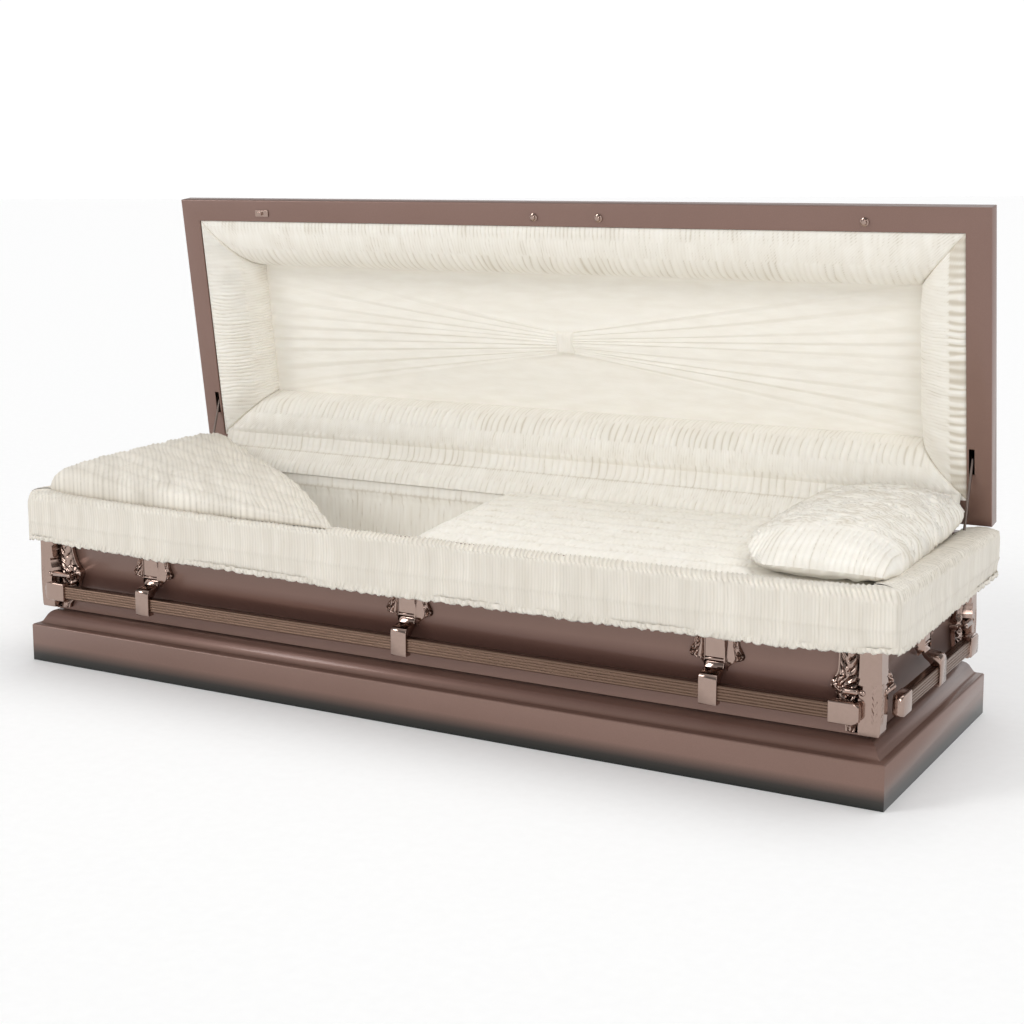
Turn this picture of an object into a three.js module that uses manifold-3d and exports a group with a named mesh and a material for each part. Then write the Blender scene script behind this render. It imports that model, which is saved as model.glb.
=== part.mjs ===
// A full-couch metal casket with its lid open: ogee base, hollow body, swing-bar handles on all
// four sides, shirred lining, pillow and throw. Millimetres, X along the length (head end at +X),
// -Y the front, +Z up, origin on the floor under the middle of the base.

import * as THREE from 'three';
import { mergeVertices } from 'three/addons/utils/BufferGeometryUtils.js';
import Module from 'manifold-3d';

const wasm = await Module();
wasm.setup();

// Driving sizes of the base and body
const LENGTH = 2108;
const WIDTH = 686;
const SHEET = 1.5;
const GAP = 0.3;
const BASE_FACE_HEIGHT = 86;
const BASE_TOP = 120.5;
const PLINTH_INSET = 52;
const PANEL_INSET = 42;
const PANEL_BOTTOM = 124.5;
const FLARE_BOTTOM = 314;
const FLARE_TOP = 346;
const RIM_INSET = 6;
const RIM_TOP = 398;
const RIM_INNER_INSET = 54;
const RIM_LIP = 12;

// Driving sizes of the lid
const LID_LENGTH = 2114;
const LID_DEPTH_Y = 686;
const LID_SIDE_HEIGHT = 38;
const LID_SHOULDER_HEIGHT = 112;
const LID_CROWN_HEIGHT = 181;
const LID_FLANGE = 54;
const LID_PANEL_HEIGHT = 105;
const LID_LEAN_DEG = 7.95;
const HINGE_Y = 351;
const HINGE_Z = 400;
const LID_SEAT = 0.5;

// Driving sizes of the swing handles; s is the distance out from the middle of the long side
const PIVOT_S = 309;
const PIVOT_Z = 226;
const PIVOT_PIN_HALF = 20.8;
const BAR_BACK_S = 326;
const BAR_FACE_S = 346;
const BAR_BOTTOM = 162;
const BAR_TOP = 193;
const ARM_FACE_S = 350.3;
const ARM_WIDTH = 38;
const LONG_BAR_HALF = 944;
const END_BAR_HALF = 207;
const TIP_LENGTH = 59;
const LONG_ARM_PLACES = [-702, 0, 704];
const END_OFFSET = (LENGTH - WIDTH) / 2;

// Driving sizes of the lining
const LINING_BACK_INSET = 57;
const LINING_THICK = 10;
const BED_TOP = 399;
const BED_CROWN = 405;
const BED_LOW = 250;
const MATTRESS_THICK = 75;
const SKIRT_HEM = 284;
const SKIRT_CREST = 412;

const HALF_X = LENGTH / 2;
const HALF_Y = WIDTH / 2;

// Finishes

function finish(colour, roughness, metalness) {
  return new THREE.MeshStandardMaterial({ color: colour, roughness, metalness });
}

const PAINT = finish(0x8a6b5e, 0.35, 0.6);
const PLATING = finish(0xb58d7e, 0.18, 1.0);
const BAR_METAL = finish(0x96755f, 0.34, 0.9);
const CREPE = finish(0xe9e3d2, 0.85, 0.0);
const STEEL = finish(0x9a9a98, 0.4, 0.9);

// Solids from points

function vec(x, y, z) {
  return new THREE.Vector3(x, y, z);
}

function signedVolume(points, faces) {
  let sum = 0;
  for (const [a, b, c] of faces) {
    sum += points[a].dot(points[b].clone().cross(points[c]));
  }
  return sum / 6;
}

function solidFrom(points, faces) {
  const outward = signedVolume(points, faces) > 0;
  const geometry = new THREE.BufferGeometry();
  geometry.setFromPoints(points);
  geometry.setIndex(faces.flatMap(([a, b, c]) => (outward ? [a, b, c] : [a, c, b])));
  return geometry;
}

// Closed solid through a row of equal loops of points, with a flat cap at both ends
function loft(loops, capPlan) {
  const n = loops[0].length;
  const points = loops.flat();
  const faces = [];
  for (let i = 0; i < loops.length - 1; i += 1) {
    for (let k = 0; k < n; k += 1) {
      const a = i * n + k;
      const b = i * n + (k + 1) % n;
      faces.push([a, b, b + n], [a, b + n, a + n]);
    }
  }
  const last = (loops.length - 1) * n;
  const plan = capPlan.map(([u, v]) => new THREE.Vector2(u, v));
  const flip = THREE.ShapeUtils.isClockWise(plan);
  for (const [a, b, c] of THREE.ShapeUtils.triangulateShape(plan, [])) {
    const face = flip ? [a, c, b] : [a, b, c];
    faces.push([face[0], face[2], face[1]]);
    faces.push([last + face[0], last + face[1], last + face[2]]);
  }
  return solidFrom(points, faces);
}

// Prism along X: an outline in (y, z) between two places
function prismX(outline, x0, x1) {
  const loops = [x0, x1].map((x) => outline.map(([y, z]) => vec(x, y, z)));
  return loft(loops, outline);
}

function block(x0, x1, y0, y1, z0, z1) {
  return prismX([[y0, z0], [y1, z0], [y1, z1], [y0, z1]], x0, x1);
}

// Joining and cutting

function toSolid(geometry) {
  const bare = new THREE.BufferGeometry();
  bare.setAttribute('position', geometry.getAttribute('position').clone());
  if (geometry.index) {
    bare.setIndex(geometry.index.clone());
  }
  const merged = mergeVertices(bare, 1e-4);
  const mesh = new wasm.Mesh({
    numProp: 3,
    vertProperties: new Float32Array(merged.getAttribute('position').array),
    triVerts: new Uint32Array(merged.index.array),
  });
  return new wasm.Manifold(mesh);
}

function toGeometry(solid) {
  const mesh = solid.getMesh();
  const geometry = new THREE.BufferGeometry();
  geometry.setAttribute('position', new THREE.BufferAttribute(mesh.vertProperties, 3));
  geometry.setIndex(new THREE.BufferAttribute(mesh.triVerts, 1));
  return geometry;
}

function joined(geometries) {
  return toGeometry(geometries.map(toSolid).reduce((a, b) => a.add(b)));
}

function cutBy(geometry, cutters) {
  return toGeometry(cutters.map(toSolid).reduce((a, b) => a.subtract(b), toSolid(geometry)));
}

// Sheet-metal profiles are lists of [inset, height]: inset is measured in from the outer rectangle

function offsetPath(path, distance) {
  const normals = path.slice(1).map(([x, z], i) => {
    const d = new THREE.Vector2(x - path[i][0], z - path[i][1]).normalize();
    return new THREE.Vector2(d.y, -d.x);
  });
  return path.map(([x, z], i) => {
    const before = normals[Math.max(i - 1, 0)];
    const after = normals[Math.min(i, normals.length - 1)];
    const middle = before.clone().add(after);
    const scale = (2 * distance) / middle.lengthSq();
    return [x + middle.x * scale, z + middle.y * scale];
  });
}

function arcPath(centre, radius, fromDeg, toDeg, steps) {
  return Array.from({ length: steps + 1 }, (_, i) => {
    const a = THREE.MathUtils.degToRad(fromDeg + ((toDeg - fromDeg) * i) / steps);
    return [centre[0] + radius[0] * Math.cos(a), centre[1] + radius[1] * Math.sin(a)];
  });
}

function rectangleLoop(rect, inset, z) {
  const { cy, hx, hy } = rect;
  const x = hx - inset;
  const y = hy - inset;
  return [vec(-x, cy - y, z), vec(x, cy - y, z), vec(x, cy + y, z), vec(-x, cy + y, z)];
}

const SQUARE_PLAN = [[0, 0], [1, 0], [1, 1], [0, 1]];

function boxShell(rect, profile) {
  return loft(profile.map(([inset, z]) => rectangleLoop(rect, inset, z)), SQUARE_PLAN);
}

// Ring of a closed profile around the rectangle, mitred at its corners
function mitredRing(rect, profile) {
  const loops = profile.map(([inset, z]) => rectangleLoop(rect, inset, z));
  const points = loops.flat();
  const n = loops.length;
  const faces = [];
  for (let i = 0; i < n; i += 1) {
    const next = (i + 1) % n;
    for (let k = 0; k < 4; k += 1) {
      const a = i * 4 + k;
      const b = i * 4 + (k + 1) % 4;
      const c = next * 4 + (k + 1) % 4;
      const d = next * 4 + k;
      faces.push([a, b, c], [a, c, d]);
    }
  }
  return solidFrom(points, faces);
}

const BASE_RECT = { cy: 0, hx: HALF_X, hy: HALF_Y };
const LID_RECT = { cy: HALF_Y - HINGE_Y - HALF_Y, hx: LID_LENGTH / 2, hy: LID_DEPTH_Y / 2 };

// Base moulding: upright face, small ledge, ogee and a flat shoulder, folded from sheet
function baseMoulding() {
  const foot = [[26, 0], [0, 0]];
  const ledge = [[0, BASE_FACE_HEIGHT], [2.5, BASE_FACE_HEIGHT + 2.4], [14, 91]];
  const ogee = [[18, 95], [22, 102], [26, 109.5], [30.5, 115], [36, 118.4], [43, BASE_TOP]];
  const outer = [...foot, ...ledge, ...ogee, [PLINTH_INSET - GAP, BASE_TOP]];
  const inner = offsetPath(outer, SHEET).reverse();
  return mitredRing(BASE_RECT, [...outer, ...inner]);
}

function bodyPath() {
  const flare = arcPath([PANEL_INSET - 36, FLARE_BOTTOM], [36, FLARE_TOP - FLARE_BOTTOM], 0, 90, 5);
  return [
    [PLINTH_INSET, 0],
    [PLINTH_INSET, PANEL_BOTTOM],
    [PANEL_INSET, PANEL_BOTTOM],
    ...flare,
    [RIM_INSET, RIM_TOP - 3],
    [RIM_INSET + 3, RIM_TOP],
    [RIM_INNER_INSET, RIM_TOP],
    [RIM_INNER_INSET, RIM_TOP - RIM_LIP],
  ];
}

const STAY_X = 1014;
const STAY_PIVOT = [275, 364];
const STAY_LENGTH = 200;
const STAY_REST_DEG = 71.9;
const STAY_SLOT_V = [122, 178];
const CATCH_PLACES = [-8, 161, 789];
const LATCH_X = -797;
const CATCH_V = 661;

// Body: one hollow sheet box with a floor pan, a flared top and a flat rim with slots
function bodyShell() {
  const outer = bodyPath();
  const inner = offsetPath(outer, SHEET).reverse();
  const shell = boxShell(BASE_RECT, [...outer, ...inner]);
  const z = [RIM_TOP - RIM_LIP - 4, RIM_TOP + 2];
  const catchY = HINGE_Y - CATCH_V;
  const cutters = CATCH_PLACES.map((x) => block(x - 14, x + 14, catchY - 14, catchY + 14, ...z));
  cutters.push(block(LATCH_X - 24, LATCH_X + 24, catchY - 14, catchY + 14, ...z));
  for (const side of [-1, 1]) {
    const x = side * STAY_X;
    cutters.push(block(x - 7, x + 7, 212, 297, ...z));
  }
  return cutBy(shell, cutters);
}

// Lid, drawn closed with the hinge line at y = 0, z = 0 and its seat at z = -LID_SEAT
function lidPath() {
  const shoulder = arcPath([66, 47], [55, LID_SHOULDER_HEIGHT - 47], 180, 90, 5);
  const dome = [[72, 114], [75, 118], [100, 136], [135, 153], [200, 171]];
  return [
    [LID_FLANGE, 9],
    [LID_FLANGE, 0],
    [1.5, 0],
    [0, 1.5],
    [0, LID_SIDE_HEIGHT],
    [3, 41],
    [9, 43],
    ...shoulder,
    ...dome,
    [280, LID_CROWN_HEIGHT],
  ].map(([inset, h]) => [inset, h - LID_SEAT]);
}

function lidShell() {
  const outer = lidPath();
  const inner = offsetPath(outer, SHEET).reverse();
  const shell = boxShell(LID_RECT, [...inner, ...outer]);
  const slots = [-1, 1].map((side) => {
    const x = side * STAY_X;
    return block(x - 6, x + 6, -STAY_SLOT_V[1], -STAY_SLOT_V[0], -4, 4);
  });
  return cutBy(shell, slots);
}

// Runs of a section along the sides of a rectangle, mitred into each other. A section is a list
// of [inset, height] for each side, all of the same length.
const SIDE_NAMES = ['front', 'right', 'back', 'left'];

function sectionCorner(rect, sections, k) {
  const [a, b] = k % 2 === 0
    ? [sections[(k + 3) % 4], sections[k]]
    : [sections[k], sections[(k + 3) % 4]];
  const sx = k === 0 || k === 3 ? -1 : 1;
  const sy = k < 2 ? -1 : 1;
  return a.map(([insetX, z], i) => {
    const insetY = b[i][0];
    return vec(sx * (rect.hx - insetX), rect.cy + sy * (rect.hy - insetY), z);
  });
}

function mitredSide(rect, sections, k) {
  const start = sectionCorner(rect, sections, k);
  const end = sectionCorner(rect, sections, (k + 1) % 4);
  const along = k % 2 === 0 ? vec(1, 0, 0) : vec(0, 1, 0);
  const shift = along.multiplyScalar(k < 2 ? GAP : -GAP);
  const loops = [start.map((p) => p.add(shift)), end.map((p) => p.clone().sub(shift))];
  return loft(loops, sections[0]);
}

// Puffed rolls of the lid lining: a quarter ellipse from the flange down to the panel
const LID_PANEL_INSETS = { front: 181, right: 171, back: 155, left: 171 };

function lidRollSection(panelInset) {
  const start = LID_FLANGE + 1;
  const run = panelInset - start;
  const drop = LID_PANEL_HEIGHT - 3;
  const puff = arcPath([start, LID_PANEL_HEIGHT], [run, -drop], 90, 8, 7);
  return [
    ...puff,
    [panelInset, LID_PANEL_HEIGHT],
    [panelInset, LID_PANEL_HEIGHT + 8],
    [start + 46, LID_PANEL_HEIGHT - 2],
    [start + 8, 56],
    [start, 14],
  ].map(([inset, h]) => [inset, h - LID_SEAT]);
}

function lidRolls() {
  const sections = SIDE_NAMES.map((name) => lidRollSection(LID_PANEL_INSETS[name]));
  return SIDE_NAMES.map((name, k) => [`lid_roll_${name}`, mitredSide(LID_RECT, sections, k)]);
}

// Fan panel: flat cloth over board, with a shallow wedge of pleats to each side of the band
function lidPanel() {
  const x = LID_RECT.hx - LID_PANEL_INSETS.right - GAP;
  const y0 = LID_RECT.cy - LID_RECT.hy + LID_PANEL_INSETS.front + GAP;
  const y1 = LID_RECT.cy + LID_RECT.hy - LID_PANEL_INSETS.back - GAP;
  const z = LID_PANEL_HEIGHT + 1;
  const board = block(-x, x, y0, y1, z, z + 7);
  const middle = (y0 + y1) / 2;
  const fans = [-1, 1].map((side) => {
    const wedge = (px, half, rise) => {
      const outline = [[middle - half, z + 2], [middle + half, z + 2], [middle, z - rise]];
      return outline.map(([py, pz]) => vec(side * px, py, pz));
    };
    return loft([wedge(22, 22, 5), wedge(x - 2, 150, 2)], [[0, 0], [1, 0], [0.5, 1]]);
  });
  return joined([board, ...fans]);
}

function lidPanelBand() {
  const middle = LID_RECT.cy + (LID_PANEL_INSETS.front - LID_PANEL_INSETS.back) / 2;
  const z = LID_PANEL_HEIGHT - 5;
  return block(-21, 21, middle - 27, middle + 27, z - 6, z);
}

// Small catches and latch plate on the front flange of the lid
function lidCatch(x) {
  const profile = [[0, 0], [10, 0], [10, 3], [6.5, 4], [6.5, 8], [4.5, 10], [0, 10.5]];
  const stud = new THREE.LatheGeometry(profile.map(([r, h]) => new THREE.Vector2(r, h)), 12);
  stud.rotateX(-Math.PI / 2);
  stud.translate(x, -CATCH_V, -LID_SEAT - GAP);
  return stud;
}

function lidLatchPlate() {
  const z = -LID_SEAT - GAP;
  const plate = block(LATCH_X - 20, LATCH_X + 20, -CATCH_V - 8, -CATCH_V + 8, z - 2.5, z);
  const bolt = block(LATCH_X - 12, LATCH_X + 2, -CATCH_V - 4, -CATCH_V + 4, z - 8, z - 1);
  return joined([plate, bolt]);
}

// Stay rods: hooked to the body under the rim and running through the slots of the lid flange
function rod(radius, points, sides) {
  const path = new THREE.CurvePath();
  for (let i = 1; i < points.length; i += 1) {
    path.add(new THREE.LineCurve3(points[i - 1], points[i]));
  }
  const circle = new THREE.Shape();
  circle.absarc(0, 0, radius, 0, Math.PI * 2, false);
  const options = { extrudePath: path, steps: points.length - 1, curveSegments: sides };
  return new THREE.ExtrudeGeometry(circle, options);
}

function stay(side) {
  const a = THREE.MathUtils.degToRad(STAY_REST_DEG);
  const at = (k) => vec(side * STAY_X, STAY_PIVOT[0] + k * Math.cos(a), STAY_PIVOT[1] + k * Math.sin(a));
  const arm = rod(3, [at(6), at(STAY_LENGTH)], 5);
  const eye = new THREE.CylinderGeometry(8, 8, 5, 12);
  eye.rotateZ(Math.PI / 2);
  eye.translate(...at(0).toArray());
  const hole = new THREE.CylinderGeometry(3.4, 3.4, 12, 12);
  hole.rotateZ(Math.PI / 2);
  hole.translate(...at(0).toArray());
  return cutBy(joined([arm, eye]), [hole]);
}

function stayBracket(side) {
  const [y, z] = STAY_PIVOT;
  const ear = STAY_X + 4;
  const top = RIM_TOP - SHEET - GAP;
  const outline = [[y - 10, z - 9], [y + 10, z - 9], [y + 16, top], [y - 16, top]];
  const plate = prismX(outline, side * ear, side * (ear + 3));
  const pin = new THREE.CylinderGeometry(2.8, 2.8, 12, 10);
  pin.rotateZ(Math.PI / 2);
  pin.translate(side * (ear - 4), y, z);
  return joined([plate, pin]);
}

// Back hinge: two long leaves whose knuckles alternate along the pin line
const HINGE_HALF = 930;
const KNUCKLE_RADIUS = 5;

function knuckles(count, parity, y, z) {
  const pitch = (2 * HINGE_HALF) / count;
  const places = Array.from({ length: count }, (_, i) => i).filter((i) => i % 2 === parity);
  return places.map((i) => {
    const barrel = new THREE.CylinderGeometry(KNUCKLE_RADIUS, KNUCKLE_RADIUS, pitch - 1, 10);
    barrel.rotateZ(Math.PI / 2);
    barrel.translate(-HINGE_HALF + (i + 0.5) * pitch, y, z);
    return barrel;
  });
}

const KNUCKLE_COUNT = 7;

function hingeWebs(outline, parity) {
  const pitch = (2 * HINGE_HALF) / KNUCKLE_COUNT;
  const places = Array.from({ length: KNUCKLE_COUNT }, (_, i) => i).filter((i) => i % 2 === parity);
  return places.map((i) => {
    const x = -HINGE_HALF + i * pitch;
    return prismX(outline, x + 0.5, x + pitch - 0.5);
  });
}

function bodyHingeLeaf() {
  const y = HALF_Y - RIM_INSET + GAP;
  const leaf = block(-HINGE_HALF, HINGE_HALF, y, y + 2, 368, RIM_TOP - 6);
  const web = [[y, 386], [y + 2, 386], [HINGE_Y + 1, 395.6], [HINGE_Y - 3, 398], [y + 2, 392], [y, 392]];
  return joined([leaf, ...hingeWebs(web, 0), ...knuckles(KNUCKLE_COUNT, 0, HINGE_Y, HINGE_Z)]);
}

function lidHingeLeaf() {
  const y = HALF_Y - HINGE_Y + GAP;
  const leaf = block(-HINGE_HALF, HINGE_HALF, y, y + 2, 7, 30);
  const web = [[y, 7], [y + 2, 7], [-2, 3], [1, 4.2], [y + 2, 13], [y, 13]];
  return joined([leaf, ...hingeWebs(web, 1), ...knuckles(KNUCKLE_COUNT, 1, 0, 0)]);
}

// Swing handles, drawn on the front side: x along the side, y = -s

function barSection() {
  const grooves = [0, 1, 2, 3].flatMap((k) => {
    const z = BAR_BOTTOM + 6.5 + k * 6;
    const floor = -BAR_FACE_S + 1.2;
    return [[-BAR_FACE_S, z - 1.1], [floor, z - 0.4], [floor, z + 0.4], [-BAR_FACE_S, z + 1.1]];
  });
  return [
    [-BAR_BACK_S, BAR_BOTTOM],
    [-BAR_BACK_S, BAR_TOP],
    [-BAR_FACE_S + 2.5, BAR_TOP],
    [-BAR_FACE_S, BAR_TOP - 2.5],
    ...grooves.reverse(),
    [-BAR_FACE_S, BAR_BOTTOM + 2.5],
    [-BAR_FACE_S + 2.5, BAR_BOTTOM],
  ];
}

function bar(half) {
  return prismX(barSection(), -half, half);
}

// Plated bar end: a block with eased edges, tapering to an octagonal face
function barTip(half, side) {
  const middle = -338.6;
  const z = (BAR_BOTTOM + BAR_TOP) / 2;
  const ring = (x, hy, hz, ease) => {
    const plan = [
      [-hy, -hz + ease], [-hy + ease, -hz], [hy - ease, -hz], [hy, -hz + ease],
      [hy, hz - ease], [hy - ease, hz], [-hy + ease, hz], [-hy, hz - ease],
    ];
    return plan.map(([dy, dz]) => vec(side * (half + x), middle + dy, z + dz));
  };
  const loops = [
    ring(GAP, 11.3, 21.5, 2), ring(TIP_LENGTH - 13, 11.3, 21.5, 2),
    ring(TIP_LENGTH - 4, 10, 19, 4), ring(TIP_LENGTH, 7.5, 15.5, 5),
  ];
  const octagon = ring(0, 11, 21, 2).map((p) => [p.y, p.z]);
  return loft(loops, octagon);
}

// Arm: knuckle under the lug, neck out over the bar, face plate and lip below
function armOutline() {
  const knuckle = arcPath([-PIVOT_S, PIVOT_Z], [5, 5], -45, 180, 6);
  return [
    ...knuckle,
    [-317, 218.5],
    [-336, 215.5],
    [-345, 212.5],
    [-349, 208],
    [-ARM_FACE_S, 202],
    [-ARM_FACE_S, 157],
    [-348, 153],
    [-331, 153],
    [-331, BAR_BOTTOM - GAP],
    [-BAR_FACE_S - GAP, BAR_BOTTOM - GAP],
    [-BAR_FACE_S - GAP, BAR_TOP + GAP],
    [-330, BAR_TOP + GAP],
    [-325, 200.5],
    [-315, 208],
  ];
}

function arm(x) {
  const neck = prismX(armOutline(), x - ARM_WIDTH / 2, x + ARM_WIDTH / 2);
  const pin = new THREE.CylinderGeometry(2.5, 2.5, 2 * PIVOT_PIN_HALF, 8);
  pin.rotateZ(Math.PI / 2);
  pin.translate(x, -PIVOT_S, PIVOT_Z);
  return joined([neck, pin]);
}

// Lug: a plate with scrolled lower corners, a flat boss over the arm and beaded side strips
const LUG_BACK_S = 301.3;
const LUG_TOP = 311;

function lugPlate() {
  const half = [
    [21.5, 218], [27, 222], [38, 231], [47, 233.5], [55, 236], [58, 243], [55.5, 250],
    [48, 262], [44.5, 280], [46, LUG_TOP],
  ];
  const shape = new THREE.Shape();
  shape.moveTo(21.5, 231.5);
  for (const [x, z] of half) {
    shape.lineTo(x, z);
  }
  for (const [x, z] of [...half].reverse()) {
    shape.lineTo(-x, z);
  }
  shape.lineTo(-21.5, 231.5);
  const plate = new THREE.ExtrudeGeometry(shape, { depth: 6, bevelEnabled: false });
  plate.rotateX(Math.PI / 2);
  plate.translate(0, -LUG_BACK_S, 0);
  return plate;
}

function bead(x, s, z, radius) {
  const ball = new THREE.OctahedronGeometry(radius);
  ball.translate(x, -s, z);
  return ball;
}

function scroll(x, z, radius, s0, s1) {
  const disc = new THREE.CylinderGeometry(radius * 0.72, radius, s1 - s0, 7);
  disc.rotateX(Math.PI / 2);
  disc.translate(x, -(s0 + s1) / 2, z);
  return disc;
}

function lug() {
  const root = -LUG_BACK_S - 2;
  const boss = [
    [root, 232], [root, LUG_TOP], [-312, LUG_TOP], [-316, 300], [-316, 234], [-314.5, 232],
  ];
  const cheek = [[root, 212], [-309, 211], [-318, 219], [-317, 236], [-311, 252], [root, 262]];
  const pieces = [lugPlate(), prismX(boss, -20, 20)];
  for (const side of [-1, 1]) {
    pieces.push(prismX(cheek, side * 21.2, side * 27));
    pieces.push(scroll(side * 51, 243, 7, LUG_BACK_S + 4, 314));
    for (let k = 0; k < 3; k += 1) {
      const z = 261 + k * 16;
      pieces.push(bead(side * (51.5 - 3 * k), LUG_BACK_S + 7.5, z, 5));
    }
  }
  return joined(pieces);
}

// Corner casting: flat faces beside the body corner, a cove out to a beaded strip, and on each
// face a turned barrel with a flower at its end
const CASTING_BOTTOM = PANEL_BOTTOM + 8;
const CASTING_TOP = 311;

function castingPlan(scale, reach) {
  const face = PANEL_INSET - 25.5 * scale;
  const edge = 62;
  const half = [
    [reach, PANEL_INSET - GAP], [reach, PANEL_INSET - 5], [reach - 12, PANEL_INSET - 8],
    [edge + 8, face + 12], [edge + 1, face + 4], [edge - 3, face], [face + 5, face],
  ];
  const other = [...half].reverse().map(([a, b]) => [b, a]);
  return [...half, ...other, [PANEL_INSET - GAP, PANEL_INSET - GAP]];
}

function flower(along, s, z, radius) {
  const petals = 6;
  const ring = (r, depth, wave) => Array.from({ length: petals * 2 }, (_, i) => {
    const a = (i * Math.PI) / petals;
    const rr = r * (1 + (i % 2 === 0 ? wave : -wave));
    return vec(along + rr * Math.cos(a), -(s + depth), z + rr * Math.sin(a));
  });
  const loops = [
    ring(radius, -6, 0), ring(radius, 4, 0.14), ring(radius * 0.62, 9, 0.1), ring(radius * 0.3, 6, 0),
  ];
  const plan = ring(1, 0, 0).map((p) => [p.x - along, p.z - z]);
  return loft(loops, plan);
}

function castingFaceOrnament(reach) {
  const barrelEnd = HALF_Y - 54;
  const barrelStart = HALF_Y - reach + 16;
  const barrel = new THREE.CylinderGeometry(7.2, 7.2, barrelEnd - barrelStart, 8);
  barrel.rotateZ(Math.PI / 2);
  barrel.translate(-(barrelEnd + barrelStart) / 2, -325, 216);
  const pieces = [barrel, flower(-barrelStart + 2, 312, 219, 15)];
  for (let k = 0; k < 3; k += 1) {
    pieces.push(bead(-(HALF_Y - reach + 7), 307, 248 + k * 22, 5.2));
  }
  return pieces;
}

// Drawn at the front left corner of a square plan, then moved out to its own corner
function cornerCasting(reach) {
  const heights = [
    [CASTING_BOTTOM, 0.9], [CASTING_BOTTOM + 6, 0.98], [205, 1], [250, 0.97], [CASTING_TOP, 0.98],
  ];
  const loops = heights.map(([z, scale]) => {
    return castingPlan(scale, reach).map(([a, b]) => vec(-HALF_Y + a, -HALF_Y + b, z));
  });
  const body = loft(loops, castingPlan(1, reach));
  const front = castingFaceOrnament(reach);
  const side = castingFaceOrnament(reach).map((piece) => {
    const turned = piece.clone();
    turned.applyMatrix4(new THREE.Matrix4().set(0, 1, 0, 0, 1, 0, 0, 0, 0, 0, 1, 0, 0, 0, 0, 1));
    return flipped(turned);
  });
  return joined([body, ...front, ...side]);
}

function flipped(geometry) {
  const flat = geometry.index ? geometry : mergeVertices(geometry);
  const index = Array.from(flat.index.array);
  for (let i = 0; i < index.length; i += 3) {
    [index[i + 1], index[i + 2]] = [index[i + 2], index[i + 1]];
  }
  flat.setIndex(index);
  return flat;
}

// Soft pieces

function bodyLining() {
  const inner = LINING_BACK_INSET + LINING_THICK;
  const top = RIM_TOP - RIM_LIP - 2;
  return mitredRing(BASE_RECT, [
    [LINING_BACK_INSET, 190],
    [inner, 190],
    [inner, top - 4],
    [LINING_BACK_INSET + 4, top],
    [LINING_BACK_INSET, top],
  ]);
}

// Folded skirt over the rim; out is how far each side stands outside the base rectangle
const SKIRT_OUT = { front: 9, right: 26, back: 9, left: 1 };
const SKIRT_THICK = 6;
const SKIRT_INNER_INSET = 62;
const SKIRT_END_Y = 334;

function skirtSection(out) {
  return [
    [-out + SKIRT_THICK, SKIRT_HEM],
    [-out, SKIRT_HEM],
    [-out, 392],
    [-out + 3, 402],
    [-out + 12, SKIRT_CREST - 2],
    [24, SKIRT_CREST],
    [44, SKIRT_CREST - 1],
    [57, 406],
    [SKIRT_INNER_INSET, 396],
    [SKIRT_INNER_INSET, 388],
    [RIM_INNER_INSET + 1, 388],
    [RIM_INNER_INSET + 1, RIM_TOP + GAP],
    [RIM_INSET - 0.7, RIM_TOP + GAP],
    [RIM_INSET - 0.7, 392],
  ];
}

function skirts() {
  const sections = SIDE_NAMES.map((name) => skirtSection(SKIRT_OUT[name]));
  const runs = SIDE_NAMES.map((name, k) => mitredSide(BASE_RECT, sections, k));
  const behind = block(-HALF_X - 60, HALF_X + 60, SKIRT_END_Y, HALF_Y + 60, 0, 600);
  return [
    ['skirt_front', runs[0]],
    ['skirt_right', squareEnd(sections, 1, behind)],
    ['skirt_left', squareEnd(sections, 3, behind)],
  ];
}

// The two end skirts stop square at the hinge side instead of turning the back corner
function squareEnd(sections, k, behind) {
  const past = sections.map((section, i) => (i === 2 ? section.map(([, z]) => [-30, z]) : section));
  const rimX = HALF_X - RIM_INNER_INSET + 2;
  const overRim = block(-rimX, rimX, HALF_Y - RIM_INNER_INSET - 2, HALF_Y, 380, RIM_TOP + GAP);
  const side = k === 1 ? STAY_X : -STAY_X;
  const slit = block(side - 6, side + 6, 276, 302, 380, 430);
  return cutBy(mitredSide(BASE_RECT, past, k), [behind, overRim, slit]);
}

function hingeCoverRoll() {
  const outline = [
    [281, 390], [286, 390], [286, RIM_TOP + GAP], [334, RIM_TOP + GAP], [338, 425], [337, 440],
    [330, 446], [318, 444], [304, 432], [290, 414], [282, 400],
  ];
  return prismX(outline, -992, 992);
}

function mattressLoop(x, top, crown) {
  const y = HALF_Y - LINING_BACK_INSET - LINING_THICK - 2;
  const under = top - MATTRESS_THICK;
  const plan = [
    [-y, under + 12], [-y + 12, under], [y - 12, under], [y, under + 12], [y, top - 16],
    [y - 16, top], [y * 0.5, top + crown], [-y * 0.5, top + crown], [-y + 16, top], [-y, top - 16],
  ];
  return plan.map(([py, pz]) => vec(x, py, pz));
}

function mattress() {
  const end = HALF_X - LINING_BACK_INSET - LINING_THICK - 2;
  const stations = [
    [-end, BED_LOW - 14, 2], [-end + 14, BED_LOW, 4], [-250, BED_LOW, 4], [-160, BED_LOW + 55, 4],
    [-80, BED_TOP - 28, 5], [-20, BED_TOP, BED_CROWN - BED_TOP], [end - 14, BED_TOP, BED_CROWN - BED_TOP],
    [end, BED_TOP - 14, 3],
  ];
  const loops = stations.map(([x, top, crown]) => mattressLoop(x, top, crown));
  return loft(loops, loops[0].map((p) => [p.y, p.z]));
}

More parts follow.
